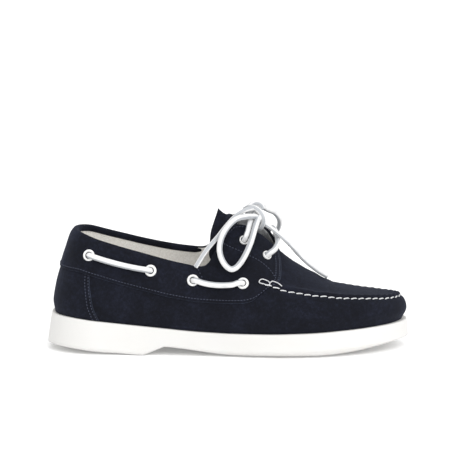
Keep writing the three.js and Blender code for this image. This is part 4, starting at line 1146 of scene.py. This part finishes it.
# lays one arched stitch at every pitch along the input's lines
def makeStitchTree():
    tree = bpy.data.node_groups.new("stitchRow", "GeometryNodeTree")
    tree.interface.new_socket("Geometry", in_out="INPUT", socket_type="NodeSocketGeometry")
    for name in stitchTreeInputs:
        tree.interface.new_socket(name, in_out="INPUT", socket_type="NodeSocketFloat")
    tree.interface.new_socket("Thread", in_out="INPUT", socket_type="NodeSocketMaterial")
    tree.interface.new_socket("Geometry", in_out="OUTPUT", socket_type="NodeSocketGeometry")
    given = addNode(tree, "NodeGroupInput").outputs
    line = addNode(tree, "GeometryNodeMeshToCurve", inputs={"Mesh": given["Geometry"]})
    marks = addNode(tree, "GeometryNodeResampleCurve", {"mode": "LENGTH"}, {
        "Curve": line.outputs[0], "Length": given["Pitch"]})
    outward = addNode(tree, "GeometryNodeInputNamedAttribute", {"data_type": "FLOAT_VECTOR"}, {
        "Name": "outward"})
    facing = addNode(tree, "FunctionNodeAxesToRotation", {"primary_axis": "X", "secondary_axis": "Z"}, {
        "Primary Axis": addNode(tree, "GeometryNodeInputTangent").outputs[0],
        "Secondary Axis": outward.outputs["Attribute"]})
    turn = addNode(tree, "ShaderNodeCombineXYZ", inputs={"Z": given["Slant"]})
    asTurn = addNode(tree, "FunctionNodeEulerToRotation", inputs={"Euler": turn.outputs[0]})
    slanted = addNode(tree, "FunctionNodeRotateRotation", {"rotation_space": "LOCAL"}, {
        "Rotation": facing.outputs[0], "Rotate By": asTurn.outputs[0]})
    half = addNode(tree, "ShaderNodeMath", {"operation": "MULTIPLY"}, {0: given["Stitch Length"], 1: 0.5})
    back = addNode(tree, "ShaderNodeMath", {"operation": "MULTIPLY"}, {0: half.outputs[0], 1: -1.0})
    dip = addNode(tree, "ShaderNodeMath", {"operation": "MULTIPLY"}, {0: given["Arch"], 1: -0.6})
    start = addNode(tree, "ShaderNodeCombineXYZ", inputs={"X": back.outputs[0], "Z": dip.outputs[0]})
    end = addNode(tree, "ShaderNodeCombineXYZ", inputs={"X": half.outputs[0], "Z": dip.outputs[0]})
    peak = addNode(tree, "ShaderNodeCombineXYZ", inputs={"Z": given["Arch"]})
    bow = addNode(tree, "GeometryNodeCurveQuadraticBezier", inputs={
        "Resolution": 8, "Start": start.outputs[0], "Middle": peak.outputs[0], "End": end.outputs[0]})
    share = addNode(tree, "GeometryNodeSplineParameter")
    toEnds = addNode(tree, "ShaderNodeMath", {"operation": "PINGPONG"}, {
        0: share.outputs["Factor"], 1: 0.5})
    taper = addNode(tree, "ShaderNodeMapRange", {"interpolation_type": "SMOOTHSTEP"}, {
        "Value": toEnds.outputs[0], "From Max": 0.22, "To Min": 0.35})
    shaped = addNode(tree, "GeometryNodeSetCurveRadius", inputs={
        "Curve": bow.outputs[0], "Radius": taper.outputs[0]})
    radius = addNode(tree, "ShaderNodeMath", {"operation": "MULTIPLY"}, {
        0: given["Thread Width"], 1: 0.5})
    section = addNode(tree, "GeometryNodeCurvePrimitiveCircle", inputs={
        "Resolution": 7, "Radius": radius.outputs[0]})
    stitch = addNode(tree, "GeometryNodeCurveToMesh", inputs={
        "Curve": shaped.outputs[0], "Profile Curve": section.outputs[0], "Fill Caps": True})
    laid = addNode(tree, "GeometryNodeInstanceOnPoints", inputs={
        "Points": marks.outputs[0], "Instance": stitch.outputs[0], "Rotation": slanted.outputs[0]})
    real = addNode(tree, "GeometryNodeRealizeInstances", inputs={"Geometry": laid.outputs[0]})
    smooth = addNode(tree, "GeometryNodeSetShadeSmooth", inputs={"Geometry": real.outputs[0]})
    done = addNode(tree, "GeometryNodeSetMaterial", inputs={
        "Geometry": smooth.outputs[0], "Material": given["Thread"]})
    addNode(tree, "NodeGroupOutput", inputs={"Geometry": done.outputs[0]})
    return tree


stitchTree = makeStitchTree()


# lines is a list of (points, outward directions); sizes are millimetres, the slant is in degrees
def sewRows(name, lines, slotName, material, sizes):
    count, edges = 0, []
    for points, _ in lines:
        edges += [(count + i, count + i + 1) for i in range(len(points) - 1)]
        count += len(points)
    mesh = bpy.data.meshes.new(name)
    mesh.from_pydata(placed(np.concatenate([points for points, _ in lines])).tolist(), edges, [])
    outward = mesh.attributes.new("outward", "FLOAT_VECTOR", "POINT")
    outward.data.foreach_set("vector", np.concatenate([facing for _, facing in lines]).reshape(-1))
    piece = addObject(name, mesh)
    modifier = piece.modifiers.new("stitches", "NODES")
    modifier.node_group = stitchTree
    values = {label: sizes[label] / perMetre for label in stitchTreeInputs}
    values["Slant"] = math.radians(sizes["Slant"])
    values["Thread"] = material
    for item in stitchTree.interface.items_tree:
        if item.in_out == "INPUT" and item.name in values:
            modifier[item.identifier] = values[item.name]
    bpy.context.view_layer.update()
    evaluated = piece.evaluated_get(bpy.context.evaluated_depsgraph_get())
    sewn = bpy.data.meshes.new_from_object(evaluated)
    piece.modifiers.clear()
    piece.data = sewn
    for attribute in [a for a in sewn.attributes if a.name == "outward"]:
        sewn.attributes.remove(attribute)
    print(name, len(sewn.polygons), "faces")
    fitPiece(piece, slotName)


# the moccasin seam's own pitch comes from its length
moccasinStitch = {"Pitch": 0, "Stitch Length": 4.9, "Thread Width": 1.02, "Arch": 0.5, "Slant": 11}
tonalStitch = {"Pitch": 2.35, "Stitch Length": 1.1, "Thread Width": 0.6, "Arch": 0.3, "Slant": 0}
seams = {
    "stitchFrom": 170,            # thread bars take the seam's first stretch
    "under": 0.1,                 # the stitches lie this far under the seam
    "lift": 0.35,
    "offSaddle": (175, 181),      # they come down from the saddle here
    "facingLevels": (1.9, 2.2), "plugPull": 0.5,    # they face between the side wall and the plug
    "slack": 0.999,               # keeps the last stitch from being rounded away
    "sunk": 0.1, "skim": 0.02,    # tonal thread lies this deep in the nap
    "rowSpacing": 1.5, "spotSpacing": 1.2,          # of the points along a tonal row
    "saddleRow": 2.4,             # the row over the saddle's lower edge
    "frontRows": (2, 4.2), "frontShares": (0.16, 0.93),       # the pair up its front end
    "counterRows": (1.6, 5.2), "counterShares": (0.03, 0.98),
    "rowSteps": 260, "frontRowSteps": 30, "counterRowSteps": 32,
    "raisedOver": (60, 85),       # heights over which the inner side's rows rise with its eyestay
}


# the moccasin seam, from the near side round the toe to the far side
def moccasinLine():
    x = np.linspace(seams["stitchFrom"], last["length"], seams["rowSteps"])
    parts = []
    for side, stations in ((lateral, x), (medial, x[::-1][1:])):
        beneath = np.linalg.norm(seamPoint(side, stations) - bellyPoint(side, stations), axis=-1)
        onSaddle = saddle["thickness"] * (1 - smoothStep(*seams["offSaddle"], stations))
        points, _ = skin(side, stations, 2 - seams["under"] / beneath, seams["lift"] + onSaddle)
        wallSide, plugSide = (wallNormal(side, stations, level) for level in seams["facingLevels"])
        parts.append((points, unit(wallSide + seams["plugPull"] * plugSide)))
    return [np.concatenate(part) for part in zip(*parts)]


seamPath = moccasinLine()
stitchCount = 2 * int(round(pathLength(seamPath[0]) / 2 / upper["stitchPitch"]))
moccasinStitch["Pitch"] = pathLength(seamPath[0]) / stitchCount * seams["slack"]
sewRows("moccasin_stitches", [seamPath], "lace", whiteThread, moccasinStitch)


# a line over the saddle at a distance from its lower edge, between two stations
def alongSaddle(side, start, end, distance):
    x = evenStations(start, end, seams["rowSpacing"])
    stations, levels, _ = saddlePlaces(side, x, np.full((len(x), 1), float(distance)))
    points, facing = skin(side, stations[:, 0], levels[:, 0], seams["skim"])
    return points + facing * (saddleLift(stations[:, 0]) - seams["sunk"])[:, None], facing


# a line up the saddle's front end, a distance behind its edge
def upSaddleFront(side, behind):
    x = np.full(1, saddle["front"] - behind)
    _, _, height = saddlePlaces(side, x, np.zeros((1, 1)))
    distances = np.linspace(*seams["frontShares"], seams["frontRowSteps"]) * height[0]
    stations, levels, _ = saddlePlaces(side, x, distances[None, :])
    return skin(side, stations[0], levels[0], saddle["thickness"] - seams["sunk"])


# a line up the counter, a distance behind its front edge
def upCounter(side, behind):
    x = np.array([counter["foot"] - behind])
    shares = np.linspace(*seams["counterShares"], seams["counterRowSteps"])
    places, levels = counterPlaces(side, x, shares)
    return skin(side, places[0], levels[0], counter["thickness"] - seams["sunk"])


# a line through given (x, z) spots of the saddle
def throughSpots(side, spots, lift):
    spots = np.array(spots, float)
    ownTop = topLine["zMedial" if side == medial else "zLateral"](spots[:, 0])
    rise = ownTop - topLine["zLateral"](spots[:, 0])
    height = spots[:, 1] + rise * smoothStep(*seams["raisedOver"], spots[:, 1])
    line = smoothPath(np.stack([spots[:, 0], 0 * height, height], axis=1), seams["spotSpacing"])
    level = levelAt(side, line[:, 0], line[:, 2], 1.2, 2.97)
    return skin(side, line[:, 0], level, lift)


eyestayArc = [[136, 85], [137.2, 88.8], [139.6, 92], [142.8, 94.8], [146.6, 96], [150.4, 95.6]]
eyestayRow = [[136.6, 84], [141, 82], [148, 79], [157.4, 74.3], [162.7, 71.5], [167.5, 68],
              [172, 63.6], [174.4, 60.6]]
collarRow = [[117.2, 65.4], [118.4, 63], [119.9, 60.4]]
tonalLines = []
for side in (lateral, medial):
    tonalLines.append(alongSaddle(side, 0, saddle["front"] - 1, seams["saddleRow"]))
    tonalLines += [upSaddleFront(side, behind) for behind in seams["frontRows"]]
    tonalLines += [upCounter(side, behind) for behind in seams["counterRows"]]
    for spots in (eyestayArc, eyestayRow, collarRow):
        tonalLines.append(throughSpots(side, spots, saddle["thickness"] - seams["sunk"]))
sewRows("tonal_stitches", tonalLines, "suede", navyThread, tonalStitch)

# thread bars that lock the seam's two ends, through (station, level) spots
threadBars = {"thickness": 0.78, "lift": 1.2, "spacing": 0.6, "sides": 10}
barSpots = [
    [[163.1, 2.01], [163.5, 2.045], [165, 2.075], [167.8, 2.083], [170.2, 2.07], [171, 2.035],
     [170, 1.99], [166.6, 1.985], [163.9, 1.99], [163.1, 2.01]],
    [[171.4, 2.06], [172.6, 2.1], [175, 2.105], [177.4, 2.075], [179.8, 2.03]],
]


def makeThreadBars(side):
    lines = []
    for spots in barSpots:
        spots = np.array(spots)
        points, _ = skin(side, spots[:, 0], spots[:, 1], threadBars["lift"])
        lines.append(smoothPath(points, threadBars["spacing"]))
    points, faces, _ = joinedTubes(lines, threadBars["thickness"], threadBars["sides"])
    fitPiece(makeMesh(f"thread_bars_{sideNames[side]}", points, faces, [whiteThread]), "lace")


makeThreadBars(lateral)
makeThreadBars(medial)
print("seams sewn")

tongue = {
    "thickness": 2.6, "along": 72, "across": 46,    # points each way
    "edge": 1.6, "rowGap": 1.1, "edgeHalf": 0.15,   # pared over its edge to this half thickness
    "fold": 1.5,                                    # how late its sides turn down
    "lastRow": 7,                                   # of the table below
}
tongueRows = curves("row xMid yMid zMid xNear yNear zNear xFar yFar zFar", [
    [0, 192, 2, 60.5, 188, -12, 54.5, 188, 15, 54.5],
    [1, 182, 1.5, 66.6, 177, -16, 56.5, 177, 18, 57.5],
    [2, 172, 1, 74.2, 162, -20, 59, 163, 21, 62],
    [3, 161, 1, 83.4, 146, -22.8, 62, 149, 22, 67],
    [4, 152, 0.5, 91, 133, -23.8, 65.5, 141, 20.8, 74],
    [5, 146, 0, 96.8, 125, -23.3, 76, 140, 18.8, 81],
    [6, 142, 0, 101, 126, -20, 91, 142.5, 16.4, 88.5],
    [7, 139.5, 0, 104, 132.5, -12, 110, 148.5, 12.2, 96.5],
])


def makeTongue():
    rows = np.linspace(0, tongue["lastRow"], tongue["along"])
    grid = []
    for u in np.linspace(-1, 1, tongue["across"]):
        edge = "Near" if u < 0 else "Far"
        reach = abs(u)
        sideways = math.sin(reach * math.pi / 2)
        drop = mix(1 - math.cos(reach * math.pi / 2), reach ** tongue["fold"], 0.5)
        grid.append(np.stack([
            mix(tongueRows["xMid"](rows), tongueRows["x" + edge](rows), drop),
            mix(tongueRows["yMid"](rows), tongueRows["y" + edge](rows), sideways),
            mix(tongueRows["zMid"](rows), tongueRows["z" + edge](rows), drop)], axis=1))
    grid = np.array(grid)
    faces = gridFaces(tongue["across"], tongue["along"])
    flat = grid.reshape(-1, 3)
    normals = vertexNormals(flat, faces)
    across, along = np.arange(tongue["across"]), np.arange(tongue["along"])
    sideDistance = np.minimum(across, across[::-1]) * tongue["rowGap"]
    endDistance = (tongue["along"] - 1 - along) * tongue["rowGap"]
    distance = np.minimum(sideDistance[:, None], endDistance[None, :]).reshape(-1)
    pinch = (1 - roundedEdge(distance, tongue["edge"])) * (tongue["thickness"] / 2 - tongue["edgeHalf"])
    outer = flat - normals * pinch[:, None]
    inner = flat - normals * (tongue["thickness"] - pinch)[:, None]
    points, faces, strips = closedShell(outer, inner, faces)
    half = (len(faces) - strips) // 2
    piece = makeMesh("tongue_shell", points, faces, [navySuede, greyLining, cutEdge],
                     [0] * half + [1] * half + [2] * strips)
    fitPiece(piece, "tongue", "tongue")


makeTongue()

insole = {
    "spacing": 2.2,
    "clear": 1,         # how far its edge stays off the wall
    "endReach": 17,     # keeps the inner rings from folding at the ends
}
outerEdge = {"side": last["ledge"], **endsIn["feather"]}
insoleEdge = {end: inset + last["wall"] + insole["clear"] for end, inset in outerEdge.items()}
# rings by their distance in from the edge, and height over the sole's top
insoleSection = [
    (24, 3), (17, 3), (11, 3.02), (7, 3.12), (4, 3.4), (2, 3.7), (0.9, 3.78), (0.3, 3.6), (0, 3.1),
    (0, 1), (0.4, 0.2), (10, 0.1), (24, 0.1),
]


# a body whose sections run round the shoe as rings; the first and the last close on its centre line
def ringBody(x, rings, ringPoint):
    rings = [rings[0], *rings, rings[-1]]
    columns = []
    for side, stations in ((lateral, x), (medial, x[::-1][1:-1])):
        column = [ringPoint(side, stations, ring) for ring in rings]
        for closing in (column[0], column[-1]):
            closing[..., 1] = solePlan["centre"](stations)
        columns.append(np.stack(column, axis=1))
    points = np.concatenate(columns).reshape(-1, 3)
    faces = gridFaces(2 * len(x) - 2, len(rings), closed=True)
    first, faces = welded(points, [tuple(reversed(face)) for face in faces])
    return points[first], faces


def insolePoint(side, x, ring):
    distance, rise = ring
    ends = {end: insoleEdge[end] + min(distance, insole["endReach"]) for end in ("heel", "toe")}
    return planPoint(side, x, insoleEdge["side"] + distance, ends,
                     lambda own: soleTop["z"](own) + last["gap"] + rise)


insoleBody = ringBody(evenStations(0, last["length"], insole["spacing"]), insoleSection, insolePoint)
fitPiece(makeMesh("insole_sock", *insoleBody, [sockCloth]), "insole", "insole")
print("tongue and insole made")

outsole = {
    "spacing": 1.7,
    "breast": (75.5, 91), "breastClear": 0.5,   # the heel's slanted front, with a sharp fold at each end
    "shoulder": (1.5, 3.4, 1.3), "shoulderDrop": 0.85,    # where the rounded top edge ends
    "wallBulge": 0.25, "wallSteps": 10,
    "recess": 0.9,                                        # the tread plates' bed
    "treads": {"heel": (20, 73), "forefoot": (100, 262)},
    "treadInset": 17.6, "treadDepth": 2.2, "treadSteps": 61,
    "siping": 4.2, "wave": 1.1, "waveLength": 8.5,        # the razor cuts' spacing and wave
    "cut": 1.1, "cutShape": [(0, 0), (0.35, 0.9), (0.8, 0.9), (1.15, 0), (2.2, 0), (3.2, 0)],
    "treadEnd": {"length": 8, "power": 2}, "treadEndGap": 1.5, "uncutFrom": 0.97,
}


# the underside; the heel's front slopes straight
def underside(name, x):
    start, end = outsole["breast"]
    foot, top = soleBottom[name](start), soleBottom[name](end)
    straight = foot + (top - foot) * (x - start) / (end - start)
    return np.where((x > start) & (x < end), straight, soleBottom[name](x))


# rings of the sole: how far in they lie along the sides, heel and toe, and their height; first over
# the top, then down the wall, in under the edge, and up into the bed of the tread plates
topRings = [((30, 30, 30), 0), ((18, 20, 19), 0), ((9, 11, 10), 0), ((5, 7, 5), 0), ((2.7, 4.6, 2.5), 0),
            ((2.1, 4, 1.9), 0.08), ((1.7, 3.6, 1.5), 0.35), (outsole["shoulder"], outsole["shoulderDrop"])]
underRings = [(0.25, 0.9), (0.8, 0.78), (1.5, 0.65), (2.5, 0.5), (4, 0.34), (6, 0.21), (8, 0.13),
              (11.5, 0.05), (15.6, 0)]
bedRings = (16.4, 22, 29)
soleRings = [{"in": inset, "drop": drop} for inset, drop in topRings]
for share in np.linspace(0, 1, outsole["wallSteps"])[1:]:
    bulge = outsole["wallBulge"] * math.sin(math.pi * share)
    inset = tuple(mix(edge, 0, share) - bulge * (1 - share) for edge in outsole["shoulder"])
    soleRings.append({"in": inset, "side": share})
soleRings += [{"in": (inset,) * 3, "under": share, "raise": 0} for inset, share in underRings]
soleRings += [{"in": (inset,) * 3, "under": 0, "raise": outsole["recess"]} for inset in bedRings]


def solePoint(side, x, ring):
    sideIn, heelIn, toeIn = ring["in"]

    def height(own):
        if "under" in ring:
            return mix(underside("centre", own), underside("edge", own), ring["under"]) + ring["raise"]
        if "side" in ring:
            return mix(soleTop["z"](own) - outsole["shoulderDrop"], underside("edge", own), ring["side"])
        return soleTop["z"](own) - ring["drop"]
    return planPoint(side, x, sideIn, {"heel": heelIn, "toe": toeIn}, height)


def makeOutsole():
    x = evenStations(0, last["length"], outsole["spacing"])
    clear = np.min(np.abs(x[:, None] - outsole["breast"]), axis=1) > outsole["breastClear"]
    x = np.sort(np.append(x[clear], outsole["breast"]))
    points, faces = ringBody(x, soleRings, solePoint)
    fitPiece(makeMesh("rubber_sole", points, faces, [whiteRubber]), "sole", "outsole")


makeOutsole()


# a tread plate with wavy razor cuts across it, let into the sole's underside
def makeTread(name, start, end):
    ends = {"heel": outsole["treadInset"], "toe": outsole["treadInset"]}
    run = np.linspace(0, last["length"], 400)
    edge = planPoint(medial, run, outsole["treadInset"], ends, lambda own: own)
    middle = solePlan["centre"](run)
    x, depth = [], []
    for k in range(int((end - start) / outsole["siping"])):
        for offset, deep in outsole["cutShape"]:
            x.append(start + k * outsole["siping"] + offset)
            depth.append(deep * outsole["cut"])
    x, depth = np.array(x)[:, None], np.array(depth)[:, None]
    across = np.linspace(-1, 1, outsole["treadSteps"])[None, :]
    ending, gap = outsole["treadEnd"], outsole["treadEndGap"]
    taper = roundOff(x - start + gap, ending) * roundOff(end + gap - x, ending)
    half = np.interp(x, edge[:, 0], edge[:, 1] - middle) * taper
    y = np.interp(x, edge[:, 0], middle) + across * half
    wavy = x + outsole["wave"] * np.sin(2 * math.pi * y / outsole["waveLength"])
    inner = np.stack([wavy, y, underside("centre", wavy) + outsole["treadDepth"]], axis=2)
    notEdge = (np.abs(across) < outsole["uncutFrom"]) * np.ones_like(x)
    outer = np.stack([wavy, y, underside("centre", wavy) + depth * notEdge], axis=2)
    columns, rows = x.shape[0], across.shape[1]
    faces = [tuple(reversed(face)) for face in gridFaces(columns, rows)]
    points, faces, _ = closedShell(outer.reshape(-1, 3), inner.reshape(-1, 3), faces)
    fitPiece(makeMesh(name, points, faces, [whiteRubber]), "sole")


for name, (start, end) in outsole["treads"].items():
    makeTread(f"tread_{name}", start, end)
print("sole made")

studio = {
    "floor": 60,   # metres across
    "floorColour": "#fbfbfb", "floorGlow": 0.12,
    "sky": "#ffffff", "skyStrength": 0.74,
    "lights": [    # soft ones; their spread is in degrees
        {"name": "overhead", "from": (0.1, -0.45, 0.85), "spread": 70, "strength": 1.5},
        {"name": "front", "from": (0.55, -0.75, 0.42), "spread": 50, "strength": 0.8},
    ],
}


def makeStudio():
    half = studio["floor"] / 2
    mesh = bpy.data.meshes.new("floor")
    corners = [(-half, -half, 0), (half, -half, 0), (half, half, 0), (-half, half, 0)]
    mesh.from_pydata(corners, [], [(0, 1, 2, 3)])
    mesh.materials.append(litAcrylic("matt_white_acrylic", studio["floorColour"], studio["floorGlow"]))
    addObject("floor", mesh)
    world = bpy.data.worlds.new("studio")
    bpy.context.scene.world = world
    world.use_nodes = True
    background = world.node_tree.nodes["Background"]
    background.inputs["Color"].default_value = colour(studio["sky"])
    background.inputs["Strength"].default_value = studio["skyStrength"]
    for light in studio["lights"]:
        lamp = addObject(light["name"], bpy.data.lights.new(light["name"], "SUN"))
        lamp.data.energy, lamp.data.angle = light["strength"], math.radians(light["spread"])
        lamp.location = light["from"]
        lamp.rotation_euler = Vector(light["from"]).to_track_quat("Z", "Y").to_euler()
    bpy.context.scene.view_settings.view_transform = "Standard"


makeStudio()
print("studio set")
